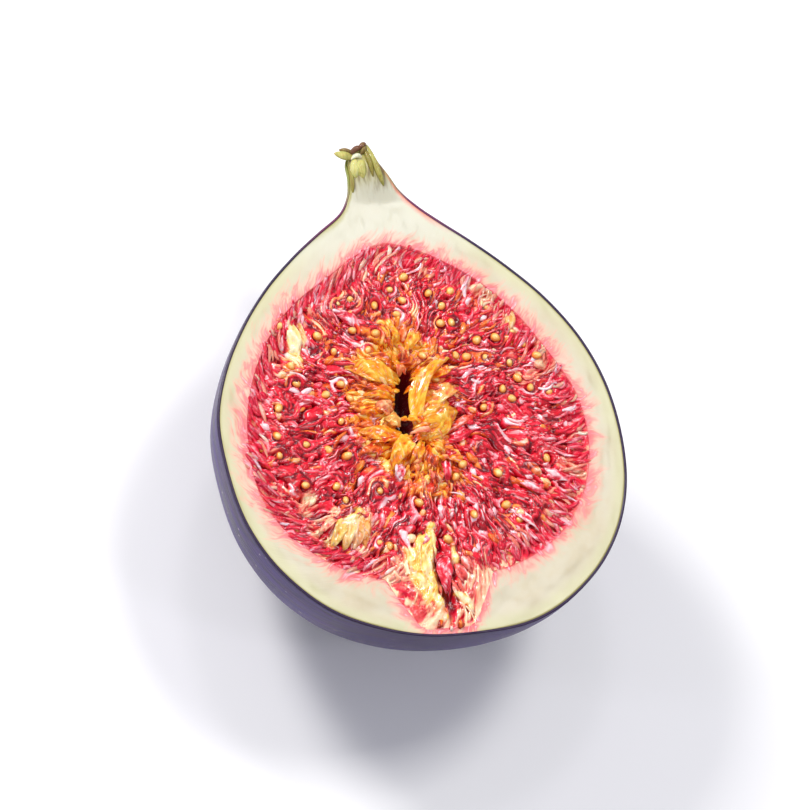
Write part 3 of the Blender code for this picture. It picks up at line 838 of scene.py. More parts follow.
# folds: rows of long domes at seeded places, each turned and bowed a little.
# Yields, for each of the domes round a place, its height there, its own tone, and how near its crest the place is
def foldsNear(layer, angle, share, gap):
    rng = np.random.default_rng(layer["seed"])
    rowStep = layer["rowGap"] / pulpShape["meanReach"]
    rowCount = int(1 / rowStep) + 4
    counts = (ringLength(np.clip((np.arange(rowCount) - 1) * rowStep, 0, 1)) / layer["spacing"]).astype(int)
    luck = rng.uniform(0, 1, (rowCount, counts.max(), 8))
    turn = (angle / (2 * np.pi)) % 1
    for rowShift in range(-2, 3):
        row = np.clip(np.floor(share / rowStep + 1.5).astype(int) + rowShift, 0, rowCount - 1)
        for columnShift in range(-1, 2):
            column = np.floor(turn * counts[row]).astype(int) + columnShift
            own = np.moveaxis(luck[row, column % counts[row]], -1, 0)
            beside = (turn - (column + 0.5 + 0.9 * (own[0] - 0.5)) / counts[row]) * ringLength(share)
            onward = (share - (row - 1 + 0.9 * (own[1] - 0.5)) * rowStep) * gap
            swing = layer["turn"] * (2 * own[2] - 1)
            u = (onward * np.cos(swing) + beside * np.sin(swing)) / between(layer["halfLength"], own[3])
            v = beside * np.cos(swing) - onward * np.sin(swing) + layer["bow"] * (own[4] - 0.5) * (1 - u * u)
            v = v / (between(layer["halfWidth"], own[5]) * (1 + 0.3 * np.clip(u, -1, 1)))
            dome = np.maximum(1 - u * u - v * v, 0) ** 0.6
            up = layer["rise"] + between(layer["height"], own[6]) * (dome + 0.28 * u)
            yield np.where(dome > 0, up, folds["floor"]), own[7], dome


# where a place falls in the pattern of folds: bent by slow swirls, and parted round each seed
def bentPlace(points, angle, share, gap, spots):
    edge, aim = edgeAndAim(angle)
    inward = unit(aim - edge)
    shift = np.stack([sum(amount * softNoise(points, size, seed + side) for amount, size, seed in folds["swirls"])
                      for side in (0, 2)], -1)
    shift *= smoothStep(share, 0.02, 0.25)[..., None]
    for spot in spots:
        off = points - spot
        away = np.linalg.norm(off, axis=-1, keepdims=True)
        shift -= off / np.maximum(away, 0.05) * 0.8 * np.exp(-(away / 1.5) ** 2)
    onward = (shift * inward).sum(-1)
    beside = shift[..., 1] * inward[..., 0] - shift[..., 0] * inward[..., 1]
    bent = angle - leanAt(angle, share * gap)
    return bent - beside / (ringLength(share) / (2 * np.pi)), share + onward / gap


# the pulp's surface at a place: the highest of the folds, over the swell and the fall to the slit.
# Gives its height, the fold's own tone, its crest, the crease where it meets the next one, and the flow
def foldSurface(points, angle, share, gap, spots):
    bentAngle, bentShare = bentPlace(points, angle, share, gap, spots)
    best, tone, crest = folds["floor"] + 0 * angle, 0 * angle, 0 * angle
    second = best
    for layer in folds["layers"]:
        for up, own, dome in foldsNear(layer, bentAngle, bentShare, gap):
            better = up > best
            second = np.where(better, best, np.maximum(second, up))
            best, tone, crest = np.where(better, up, best), np.where(better, own, tone), np.where(better, dome, crest)
    crease = 1 - smoothStep(best - second, 0.0, folds["creaseHeight"])
    best = best + 0.05 * softNoise(points, 0.9, 39)
    # level with the cut at the edge, with the folds' height growing inward, and tucked under the flesh
    start = smoothStep(share, 0.0, 0.07)
    tuck = 1 - smoothStep(share * gap, 0.0, 0.35)
    flow = flowAt(bentAngle, gap * bentShare)
    height = (best + pulpLevel(points, share)) * start + 0.04 * (1 - start) - 0.2 * tuck
    return height, tone, crest, crease, flow


# the crack in the eye's passage: 1 on it, 0 away from it
def crackAt(points):
    rows = np.array(folds["crack"])[::-1]
    off = points[..., 0] - np.interp(points[..., 1], rows[:, 1], rows[:, 0])
    width = 0.35 + 0.25 * smoothStep(-points[..., 1], 14, 18) * smoothStep(points[..., 1], -26, -20)
    ends = smoothStep(-points[..., 1], 14.2, 15.4) * smoothStep(points[..., 1], -29.2, -27.5)
    return np.exp(-(off / width) ** 2) * ends


# a grid's values evened out over a few rows and columns, round the loop of its columns
def evened(grid, rows, columns):
    total = sum(np.roll(grid, step, axis=1) for step in range(-columns, columns + 1)) / (2 * columns + 1)
    order = np.arange(len(grid))
    return sum(total[np.clip(order + step, 0, len(grid) - 1)] for step in range(-rows, rows + 1)) / (2 * rows + 1)


# round each seed: how much of a raised lip and of a pit there is
def dimplesAt(points, seedPlaces):
    lip, pit, (lipAway, lipWidth) = 0 * points[..., 0], 0 * points[..., 0], folds["seedLip"]
    for across, along, _ in seedPlaces:
        away = np.hypot(points[..., 0] - across, points[..., 1] - along)
        lip = np.maximum(lip, np.exp(-((away - lipAway) / lipWidth) ** 2))
        pit = np.maximum(pit, np.exp(-(away / folds["seedPit"]) ** 4))
    return lip, pit


# the folds' upper side, from the pulp's edge in to the slit: its places, and what is known of each
def foldTop(seedPlaces):
    angle = np.linspace(0, 2 * np.pi, folds["around"], endpoint=False)[None]
    edge, aim = polar(rimWithEye(angle), angle), edgeAndAim(angle)[1]
    gap = np.linalg.norm(aim - edge, axis=-1)
    width = slitAt(aim[..., 1])[1] + folds["slitLip"]
    share = np.linspace(0, 1, folds["steps"])[:, None] * (1 - width / gap)
    at = SimpleNamespace(edge=edge, share=share, angle=angle + 0 * share, gap=gap + 0 * share)
    at.flat = edge + (aim - edge) * share[..., None]
    up, at.tone, at.crest, at.crease, at.flow = foldSurface(at.flat, at.angle, share, at.gap, seedPlaces[:, :2])
    at.lip, at.pit = dimplesAt(at.flat, seedPlaces)
    at.crack = crackAt(at.flat)
    at.yellow, at.peach, at.leaf = (patchAt(at.flat, kind) for kind in ("yellow", "peach", "leaf"))
    at.inEye = smoothStep(-at.flat[..., 1], 19, 22) * smoothStep(9 - np.abs(at.flat[..., 0] + 1.5), 0, 2)
    # smoother where the patches are
    at.calm = np.clip(0.85 * at.leaf + 0.6 * at.peach * at.inEye + 0.5 * at.yellow, 0, 0.9)
    level = 0.2 + 0.1 * softNoise(at.flow * np.array([1.0, 1.0, 0.3]), 1.1, 40) + 0.12 * softNoise(at.flat, 1.6, 41)
    up = up + at.calm * (level - up) * smoothStep(share * gap, 0.1, 1.2)
    at.up = np.minimum(up + 0.22 * at.lip - at.crack, 1.3)
    return at


# the colour values of the upper side: pale crests as painted highlight, dark creases and hollows as painted shade,
# amber by the slit, and the patches
def foldValues(at):
    inside, toSlit = at.share * at.gap, (1 - at.share) * at.gap
    # painted light and shade: places higher than those round them paler, lower ones darker
    relief = smoothStep(at.up - evened(at.up, 2, 7), -0.3, 0.3)
    gold = amberAt(at.flat, at.angle, toSlit + 2.4 * (at.tone - 0.5)) * smoothStep(relief + at.tone, 0.1, 0.7)
    # a few folds are orange or salmon beyond the heart, more of them above it
    warmth = 0.16 + 0.2 * smoothStep(at.flat[..., 1], -4, 8) + 0.4 * smoothStep(toSlit, 12, 5)
    hue = (at.tone * 7.31) % 1
    gold = np.maximum(gold, 0.6 * smoothStep(warmth * 0.4 - hue, -0.03, 0.03) * (1 - at.crease))
    gold = gold * (1 - at.leaf) * (1 - 0.8 * at.peach)
    salmon = smoothStep(hue, 0.82, 0.9) * smoothStep(inside, 7, 3) * 0.8
    paleness = np.maximum(at.tone ** 2.2, patchAt(at.flat, "pale") * smoothStep(at.tone, 0.1, 0.5))
    rimGlow = 1 - smoothStep(inside, 0.6, 3.4)
    # painted light and shade: crests paler, creases darker, raised lips round the seeds paler and their pits darker
    blush = 0.04 + 0.24 * relief + 0.4 * at.crest ** 2 * (0.3 + 0.7 * at.tone) + 0.4 * paleness
    blush = blush - 0.36 * at.crease * (1 - rimGlow) + 0.1 * at.lip - 0.35 * at.pit
    blush = blush + 0.32 * rimGlow + 0.12 * at.peach * at.inEye
    # painted shade: darker deep down, in the crack and in the creases
    lit = 1 - 0.75 * smoothStep(-at.up, 1.8, 3.4) - 0.6 * at.crack
    lit = lit - 0.2 * at.crease * (1 - at.calm) * (1 - rimGlow)
    return {
        "blush": np.clip(blush + 0.04 * at.leaf + 0.2 * gold, 0, 1), "amber": gold,
        "yellow": np.maximum(at.yellow * smoothStep(at.tone, 0.08, 0.3), at.leaf),
        "peach": np.maximum(at.peach * smoothStep(at.tone, 0.02, 0.2), salmon),
        "lit": np.clip(lit, 0, 1), "inside": inside, "depth": at.share,
    }


# the folded pulp: its upper side, the slit's wall down to a point, and a plain underside that closes it
def makeFolds(seedPlaces):
    at = foldTop(seedPlaces)
    deep = np.linspace(0, 1, folds["slitSteps"])[1:, None]
    last, lastUp = at.flat[-1:], at.up[-1:]
    wall = last + (np.array(folds["slitFoot"]) - last) * (deep ** 3)[..., None]
    wallUp = lastUp + (-pulpShape["slitDepth"] - lastUp) * np.sin(0.5 * np.pi * deep)
    outward, belowUp = np.array(folds["underside"]).T[..., None]
    below, belowUp = at.edge * outward[..., None], belowUp + 0 * at.angle[:1]
    flat, up = np.concatenate([below, at.flat, wall]), np.concatenate([belowUp, at.up, wallUp])
    given = foldValues(at)
    # painted shade: dark, and darker still down the slit's wall
    inSlit = {"blush": 0.1, "amber": 0.1 * given["amber"][-1:], "lit": given["lit"][-1:] * (1 - deep) ** 1.2 * 0.7,
              "depth": 1}
    sets = (wetValues(belowUp.shape, {}), wetValues(at.up.shape, given), wetValues(wallUp.shape, inSlit))
    values = {label: np.concatenate([one[label] for one in sets]) for label in sets[0]}
    wallFlow = at.flow[-1:] + deep[..., None] * np.array([0, 0, pulpShape["slitDepth"]])
    values["flow"] = np.concatenate([np.zeros((*belowUp.shape, 3)), at.flow, wallFlow])
    grid = np.concatenate([flat, up[..., None]], -1)
    return closedSurface("pulpFolds", grid, pulpFinish("pulpFolds", *folds["finish"]), values)


# rows of places round the pulp, jittered: angle and share for each
def scatter(rng, shares, rowGap, spacing):
    angles, found = [], []
    rowStep = rowGap / pulpShape["meanReach"]
    for share in np.arange(*shares, rowStep):
        count = int(ringLength(share) / spacing)
        angles.append(2 * np.pi * (np.arange(count) + rng.uniform(0, 1) + rng.uniform(-0.35, 0.35, count)) / count)
        found.append(share + rng.uniform(-0.5, 0.5, count) * rowStep)
    return np.concatenate(angles), np.clip(np.concatenate(found), 0.0, 0.97)


florets = {
    "layers": (
        {"seed": 42, "rowGap": 2.0, "spacing": 1.9, "shares": (0.14, 0.95), "length": (2.2, 3.8),
         "halfWidth": (0.5, 0.85), "rise": -0.26, "tone": 0.32, "spread": 0.24, "slim": 0.3},
        {"seed": 43, "rowGap": 2.0, "spacing": 2.2, "shares": (0.16, 0.93), "length": (1.8, 3.2),
         "halfWidth": (0.34, 0.6), "rise": -0.08, "tone": 0.44, "spread": 0.26, "slim": 0.4},
    ),
    "steps": 8,
    "sides": 7,
    "seedGap": 1.2,       # no floret starts nearer to a seed
    "turnSpread": 0.4,
    # bow and wave of the paths, as shares of their length
    "bow": 0.2,
    "wave": 0.07,
    # painted light and shade: how much paler the lit crown is, and the shaded foot darker
    "crown": 0.42,
    "foot": 0.16,
    "finish": (0.2, 0.95, 0.4, 0.14),
}


# one layer of florets: plump drops and slim folds that start toward the wall and end toward the slit.
# Each path is a line with a bow and a wave; its ends dip, and it swells toward its inner end
def floretLayer(layer, seedPlaces):
    rng = np.random.default_rng(layer["seed"])
    angle, share = scatter(rng, layer["shares"], layer["rowGap"], layer["spacing"])
    start = pulpPlace(angle, share)
    clear = np.linalg.norm(start[:, None] - seedPlaces[None, :, :2], axis=-1).min(1) > florets["seedGap"]
    angle, share, start = angle[clear], share[clear], start[clear]
    count = len(angle)
    edge, aim = edgeAndAim(angle)
    gap = np.linalg.norm(aim - edge, axis=1)
    heading = np.arctan2(*(aim - edge).T[::-1]) + rng.normal(0, florets["turnSpread"], count)
    heading = heading + 0.5 * softNoise(start, 6.0, 51)
    inward = polar(1, heading)[:, None]
    slim = rng.uniform(0, 1, count) < layer["slim"]
    length = rng.uniform(*layer["length"], count) * np.where(slim, 1.15, 0.85)
    length = np.minimum(length, gap * (1 - share) + 0.6)
    halfWidth = rng.uniform(*layer["halfWidth"], count) * np.where(slim, 0.55, 1.1)
    q = np.linspace(0, 1, florets["steps"])[None]
    bow = (rng.normal(0, florets["bow"], count) * length)[:, None] * 4 * q * (1 - q)
    wave = (rng.normal(0, florets["wave"], count) * length)[:, None]
    wave = wave * np.sin(2 * np.pi * q + rng.uniform(0, 6.3, (count, 1)))
    flat = start[:, None] + inward * (length[:, None] * (q - 0.5))[..., None] + leftOf(inward) * (bow + wave)[..., None]
    there = np.clip(share[:, None] + (q - 0.5) * (length / gap)[:, None], 0, 1)
    turned = np.arctan2(flat[..., 1], flat[..., 0])
    up = foldSurface(flat, turned, there, gap[:, None] + 0 * q, seedPlaces[:, :2])[0]
    middle = up.mean(1, keepdims=True)
    up = np.clip(middle + 0.45 * (up - middle), -1.4, 0.9) + layer["rise"] + rng.normal(0, 0.1, (count, 1))
    up = up - 0.6 * (1 - q) ** 2 - 0.45 * q ** 5
    swell = np.where(slim[:, None], np.sin(np.pi * q) ** 0.6, np.sin(np.pi * q ** 1.35) ** 0.75)
    widths = halfWidth[:, None] * swell
    heights = widths * np.where(slim, rng.uniform(0.5, 1.0, count), rng.uniform(0.55, 0.8, count))[:, None]
    roll = rng.normal(0, 0.5, (count, 1)) + rng.normal(0, 0.9, (count, 1)) * q
    blush = layer["tone"] + rng.normal(0, layer["spread"], (count, 1)) + 0.25 * q - 0.1
    warm = (rng.uniform(0, 1, (count, 1)) < 0.1) * 0.6
    given = {
        "blush": np.clip(blush, 0.02, 0.98),
        "amber": np.maximum(amberAt(flat, angle[:, None] + 0 * q, (1 - there) * gap[:, None]), warm),
        "yellow": patchAt(flat, "yellow"), "peach": patchAt(flat, "peach"),
        # painted shade: darker deep down and toward the foot
        "lit": 1 - 0.7 * smoothStep(-up, 1.8, 3.4) - 0.25 * (1 - q) ** 3,
    }
    sides = florets["sides"]
    points, quads, tris, values = wetBodies(flat, up, widths, heights, roll, sides, given)
    # painted light and shade: paler along the lit crown than at the shaded foot
    crown = (points[..., 2] - spreadValues(up, sides)) / np.maximum(spreadValues(heights, sides), 0.08)
    shading = florets["crown"] * np.clip(crown, -1, 1) - florets["foot"]
    values["blush"] = np.clip(values["blush"] + shading, 0.02, 0.98)
    return points, quads, tris, values


# joins several sets of points, quads, triangles and values into one
def joined(sets):
    shift, points, quads, tris = 0, [], [], []
    for some, fours, threes, _ in sets:
        some = some.reshape(-1, 3)
        points.append(some)
        quads.append(fours + shift)
        tris.append(threes + shift)
        shift += len(some)
    values = {label: np.concatenate([one[3][label].reshape(len(one[0].reshape(-1, 3)), -1) for one in sets])
              for label in sets[0][3]}
    return np.concatenate(points), np.concatenate(quads), np.concatenate(tris), values


def makeFlorets(seedPlaces):
    points, quads, tris, values = joined([floretLayer(layer, seedPlaces) for layer in florets["layers"]])
    return makePiece("florets", points, quads, tris, pulpFinish("pulpFlorets", *florets["finish"]), values)


threads = {
    "layers": ((61, 1.2, 0.0), (62, 1.2, -0.8), (63, 1.5, -1.6)),  # seed, spacing, how far out they start
    "length": (2.0, 4.2),
    "halfWidth": (0.18, 0.36),
    "flatness": 0.18,
    "startSpread": 0.2,
    "steps": 10,
    "sides": 6,
    "finish": (0.36, 0.5, 0.5, 0.06),
}


# the border's raised threads: slim, leaning from the flesh into the pulp, sunk where they start
def makeThreads():
    sets = []
    for seed, spacing, outward in threads["layers"]:
        rng = np.random.default_rng(seed)
        count = int(ringLength(0) / spacing)
        angle = 2 * np.pi * (np.arange(count) + rng.uniform(-0.4, 0.4, count)) / count
        angle = angle[offEye(angle) > 0.8 * pulpShape["eyeSpread"][0]]
        count = len(angle)
        lean = roundPulp("lean", angle)
        length = rng.uniform(*threads["length"], count) / np.sqrt(1 + lean ** 2)
        wander = 0.4 * softNoise(pulpPlace(angle, 0 * angle), 3.0, 72)
        begin = -outward - rng.exponential(threads["startSpread"], count) + wander
        q = np.linspace(0, 1, threads["steps"])[None]
        reach = begin[:, None] + length[:, None] * q
        bow = rng.normal(0, 0.03, (count, 1)) * 4 * q * (1 - q) + rng.normal(0, 0.035, (count, 1)) * q
        turned = angle[:, None] + leanAt(angle[:, None], reach) - leanAt(angle, begin)[:, None] + bow
        flat = polar(rimAt(turned) - reach, turned)
        up = 0.02 * np.sin(np.pi * q) ** 0.8 + rng.normal(0, 0.03, (count, 1)) * q
        up = up - 0.35 * q ** 3 - 0.16 * (1 - q) ** 4
        widths = rng.uniform(*threads["halfWidth"], (count, 1)) * np.sin(np.pi * q ** 1.1) ** 0.7
        given = {"blush": np.clip(0.68 + rng.normal(0, 0.16, (count, 1)) + 0 * q, 0.2, 0.95),
                 "inside": reach + rng.normal(0.8, 0.6, (count, 1)),
                 "yellow": patchAt(flat, "yellow"),
                 "peach": np.maximum(0.6 * patchAt(flat, "peach"), (rng.uniform(0, 1, (count, 1)) < 0.2) * 0.5)}
        sets.append(wetBodies(flat, up, widths, widths * threads["flatness"], 0 * widths, threads["sides"], given))
    points, quads, tris, values = joined(sets)
    return makePiece("rimThreads", points, quads, tris, pulpFinish("pulpThreads", *threads["finish"]), values)


seeds = {
    # across and along of the seeds that lie open
    "spots": (
        (-0.3, 18.7), (1.1, 17.0), (-2.9, 16.6), (-0.1, 15.0), (-11.8, 12.9), (-6.7, 13.4), (-9.8, 10.7),
        (-16.2, 9.2), (-9.9, 6.0), (-5.0, 10.5), (-3.6, 12.6), (2.2, 8.8), (-9.0, 3.9), (2.1, 20.3), (4.9, 17.5),
        (5.8, 13.1), (7.3, 13.1), (6.6, 15.7), (10.5, 10.4), (13.1, 10.4), (17.0, 9.3), (18.3, 7.3), (14.3, 6.6),
        (8.6, 8.2), (7.1, 8.5), (15.1, 4.5), (12.6, 3.1), (16.5, 2.9), (13.6, 1.7), (9.3, 0.7), (3.5, -8.5),
        (9.3, -8.6), (9.7, -13.1), (4.8, -14.1), (4.9, -6.8), (-19.1, 3.6), (-10.9, 0.8), (-20.4, -3.1),
        (-17.6, -7.6), (-13.4, -8.2), (-11.1, -4.1), (-7.5, -9.4), (-12.5, -10.2), (-20.2, -0.3), (-4.9, 2.2),
    ),
    # more that lie half buried
    "rowGap": 4.4,
    "spacing": 6.5,
    "shares": (0.15, 0.8),
    "radius": (0.42, 0.6),
    "steps": 9,
    "sides": 10,
    # the seed's own gold, with a painted highlight on top and painted shade toward the sides
    "pale": shown(254, 212, 140),
    "gold": shown(244, 160, 66),
    "rim": shown(220, 74, 26),
}


# where the seeds lie: the open ones, then buried ones that keep clear of them
def seedRows():
    rng = np.random.default_rng(81)
    spots = np.array(seeds["spots"])
    angle, share = scatter(rng, seeds["shares"], seeds["rowGap"], seeds["spacing"])
    more = pulpPlace(angle, share) + rng.normal(0, 0.5, (len(angle), 2))
    more = more[np.linalg.norm(more[:, None] - spots, axis=-1).min(1) > 2.2]
    up = np.concatenate([rng.uniform(-0.5, -0.1, len(spots)), rng.uniform(-0.85, -0.5, len(more))])
    flat = np.concatenate([spots, more])
    share = 1 - np.linalg.norm(flat, axis=1) / 24
    return np.concatenate([flat, (up + pulpLevel(flat, share))[:, None]], -1)


def seedFinish():
    look = Look("goldSeeds", {
        "Subsurface Weight": 0.35, "Subsurface Radius": (1.0, 0.6, 0.25), "Subsurface Scale": 0.0006,
        "Coat Weight": 0.7, "Coat Roughness": 0.05, "Specular IOR Level": 0.25,
    })
    place = look.place()
    grain = look.noise(place, 0.35, 2.0)
    # painted light and shade: pale on top, gold lower down and dark orange toward the sides
    crown = look.value("crown") + (grain - 0.5) * 0.4
    colour = look.ramp(crown, [(0.46, seeds["rim"]), (0.78, seeds["gold"]), (1.04, seeds["pale"])])
    return look.wires(Base_Color=colour, Roughness=0.28 + grain * 0.15, Normal=look.bump(grain, 0.06))


# seeds: short egg shapes, each along its own heading, paler on top by painted light
def makeSeeds(seedPlaces):
    rng = np.random.default_rng(82)
    count = len(seedPlaces)
    heading, radius = rng.uniform(0, 2 * np.pi, count), rng.uniform(*seeds["radius"], (count, 1))
    ahead = np.stack([np.cos(heading), np.sin(heading), rng.normal(0, 0.3, count)], -1)[:, None]
    q = np.linspace(0, 1, seeds["steps"])[None]
    paths = seedPlaces[:, None] - ahead * (radius * 1.2 * np.cos(np.pi * q))[..., None]
    widths = radius * np.sin(np.pi * q) * (1 - 0.14 * np.cos(np.pi * q))
    points, quads, tris, _ = taperedBodies(paths, widths, widths * 0.92, 0 * widths, seeds["sides"])
    crown = 0.5 + 0.5 * (points[..., 2] - seedPlaces[:, None, 2]) / radius
    return makePiece("seeds", points, quads, tris, seedFinish(), {"crown": crown})


flaps = {
    # root across and along, tip across and along, half width, arch, sideways bow, tone,
    # then how amber, yellow and salmon
    "heart": (
        (-9.0, 8.6, -0.9, 5.9, 1.5, 0.6, 0.3, 0.62, 1, 0, 0),
        (-5.6, 9.9, -0.9, 8.0, 0.7, 0.45, 0.3, 0.42, 1, 0, 0),
        (-7.4, 5.8, -1.9, 4.6, 0.6, 0.5, -0.2, 0.34, 0.9, 0, 0),
        (-7.2, 4.3, -2.1, 3.5, 0.55, 0.6, 0.1, 0.5, 1, 0, 0),
        (-5.7, 2.8, -3.0, 1.6, 1.0, 0.75, 0, 0.58, 0.7, 0, 0.5),
        (-4.7, 0.8, -2.2, -0.2, 0.9, 0.7, 0, 0.62, 1, 0.3, 0),
        (-8.2, 1.8, -4.6, 1.7, 0.55, 0.5, 0.2, 0.4, 0.9, 0, 0),
        (-8.8, -0.6, -2.0, -1.3, 1.05, 0.6, -0.5, 0.55, 1, 0, 0),
        (-7.8, -2.5, -1.8, -1.8, 0.4, 0.75, -0.3, 0.36, 1, 0, 0),
        (-5.4, -6.8, -0.5, -1.6, 1.25, 0.75, 0.5, 0.62, 1, 0, 0),
        (-2.4, -6.0, 0.3, -2.4, 0.75, 0.75, -0.2, 0.52, 1, 0, 0),
        (-4.9, -8.8, -3.3, -5.1, 0.75, 0.6, 0.1, 0.84, 0, 0, 0),
        (0.1, -7.4, 1.7, -3.3, 1.2, 0.4, 0.2, 0.3, 1, 0, 0), (7.2, 9.0, 0.1, -2.2, 1.1, 0.65, -2.9, 0.62, 1, 0, 0),
        (6.0, 1.0, -0.2, -2.3, 1.6, 0.7, -0.3, 0.62, 1, 0, 0), (3.2, 2.4, 1.7, -3.4, 1.7, 0.55, 0, 0.62, 1, 0, 0),
        (5.0, 2.4, -0.1, 1.0, 1.0, 0.75, 0.3, 0.66, 1, 0.1, 0),
        (6.6, 4.5, 1.6, 2.5, 1.6, 0.65, 0, 0.52, 1, 0, 0.25), (6.2, 6.9, 2.8, 6.0, 0.6, 0.55, 0.2, 0.42, 1, 0, 0),
        (1.1, 10.2, -0.4, 7.4, 1.3, 0.35, 0, 0.2, 1, 0, 0), (2.0, 12.6, 0.3, 10.1, 0.85, 0.65, 0.2, 0.6, 1, 0, 0),
        (-1.5, 13.8, -0.3, 10.9, 0.55, 0.6, 0.1, 0.6, 1, 0, 0),
        (0.2, 15.4, -0.9, 12.4, 0.5, 0.5, 0, 0.5, 0.9, 0, 0),
        (8.4, 0.2, 3.2, -1.9, 0.65, 0.4, 0.1, 0.6, 0.2, 0, 0),
        (7.6, -1.9, 2.9, -3.1, 0.7, 0.4, 0.3, 0.62, 0, 0, 0),
        (5.0, -7.0, 3.0, -4.3, 0.8, 0.35, 0, 0.45, 0.9, 0, 0),
        (4.8, 11.6, 2.6, 9.1, 0.6, 0.35, 0.2, 0.4, 0.8, 0, 0),
        (-9.8, 3.2, -6.4, 2.9, 0.8, 0.3, -0.2, 0.5, 0.7, 0, 0),
        (2.4, -9.2, 2.9, -5.2, 0.65, 0.4, 0.2, 0.7, 0, 0, 0),
        (-9.4, -3.9, -5.0, -3.0, 0.7, 0.35, 0.2, 0.5, 0.5, 0, 0),
    ),
    # the same beyond the heart: the blobs and edges in the eye, and the pale tufts by the wall
    "outer": (
        (-1.1, -24.7, -0.2, -18.5, 1.0, 0.35, 0.2, 0.66, 0, 0, 0),
        (1.6, -23.7, 1.0, -19.8, 0.7, 0.3, -0.1, 0.6, 0, 0, 0.2),
        (-1.6, -19.8, -1.0, -14.7, 0.35, 0.5, 0.2, 0.6, 0, 1, 0),
        (3.2, -22.6, 2.2, -18.4, 0.6, 0.3, 0.2, 0.62, 0, 0, 0.3),
        (4.6, -21.8, 3.6, -18.2, 0.5, 0.3, 0, 0.5, 0, 0, 0), (-3.5, -29.5, -2.3, -28.0, 0.5, 0.3, 0, 0.1, 1, 0, 0),
        (-0.6, -29.6, 0.5, -28.3, 0.5, 0.3, 0, 0.1, 1, 0, 0),
        (-1.7, -29.9, -1.3, -28.8, 0.3, 0.4, 0, 1, 0, 0.4, 0),
        (-15.8, -16.6, -11.6, -12.0, 1.05, 0.4, 0.2, 0.42, 0, 0.9, 0),
        (-14.2, -17.1, -10.7, -11.6, 0.95, 0.4, 0.1, 0.5, 0, 0.7, 0.4),
        (-11.2, -17.2, -9.7, -11.2, 0.95, 0.4, 0.3, 0.5, 0.7, 0.3, 0),
        (-12.7, -17.2, -10.4, -12.4, 0.8, 0.45, 0, 0.55, 0, 0.4, 0.6),
        (-17.4, -14.4, -13.6, -11.4, 0.9, 0.3, 0, 0.5, 0.3, 0, 1),
        (-15.2, 16.0, -15.4, 9.6, 0.9, 0.3, 0.3, 0.75, 0, 1, 0),
        (-13.8, 15.4, -13.6, 11.0, 0.5, 0.35, 0, 0.6, 0, 0.6, 0.4),
        (16.4, 14.0, 14.8, 10.6, 0.65, 0.3, 0, 0.5, 0.3, 0.6, 0),
        (-9.4, 16.8, -5.0, 13.4, 0.7, 0.4, 0.3, 0.76, 0, 0, 0),
        (20.0, -10.8, 15.4, -8.2, 0.6, 0.3, 0.3, 0.8, 0, 0, 0),
        (19.2, -4.6, 13.6, -3.6, 0.6, 0.3, 0.2, 0.78, 0, 0, 0),
        (16.0, -12.6, 11.8, -9.4, 0.5, 0.35, 0, 0.76, 0, 0, 0),
        (13.6, -17.4, 10.2, -13.4, 0.55, 0.3, -0.2, 0.78, 0, 0, 0),
        (-15.6, -6.6, -10.6, -4.4, 0.5, 0.3, 0.2, 0.76, 0, 0, 0),
        (-16.8, 5.0, -12.4, 3.6, 0.5, 0.35, 0.2, 0.76, 0, 0, 0),
        (8.6, -12.4, 5.8, -8.6, 0.5, 0.35, 0.2, 0.74, 0, 0, 0),
    ),
    # small ones strewn round the slit
    "curls": 90,
    "curlShares": (0.62, 0.93),
    "curlLength": (1.4, 3.0),
    "curlHalfWidth": (0.26, 0.6),
    "steps": 20,
    "sides": 24,
    "thickness": 0.16,
    # how deep the roots lie
    "heartSink": 1.0,
    "outerSink": 0.5,
    "finish": (0.24, 0.75, 0.3, 0.2),
}


# rows for the strewn curls, each aimed about at the slit
def curlRows():
    rng = np.random.default_rng(97)
    count = flaps["curls"]
    angle, share = rng.uniform(0, 2 * np.pi, count), rng.uniform(*flaps["curlShares"], count)
    edge, aim = edgeAndAim(angle)
    heading = np.arctan2(*(aim - edge).T[::-1]) + rng.normal(0, 0.35, count)
    toSlit = (1 - share) * np.linalg.norm(aim - edge, axis=1)
    length = np.minimum(rng.uniform(*flaps["curlLength"], count), toSlit + 0.3)
    root = pulpPlace(angle, share)
    tip = root + polar(length, heading)
    amber = amberAt(root, angle, toSlit)
    halfWidth, arch = rng.uniform(*flaps["curlHalfWidth"], count), rng.uniform(0.1, 0.5, count)
    own = [halfWidth, arch, rng.normal(0, 0.15, count), rng.uniform(0.2, 0.75, count), amber, 0 * amber,
           (rng.uniform(0, 1, count) < 0.2) * 0.5]
    return np.concatenate([root, tip, np.stack(own, -1)], 1)


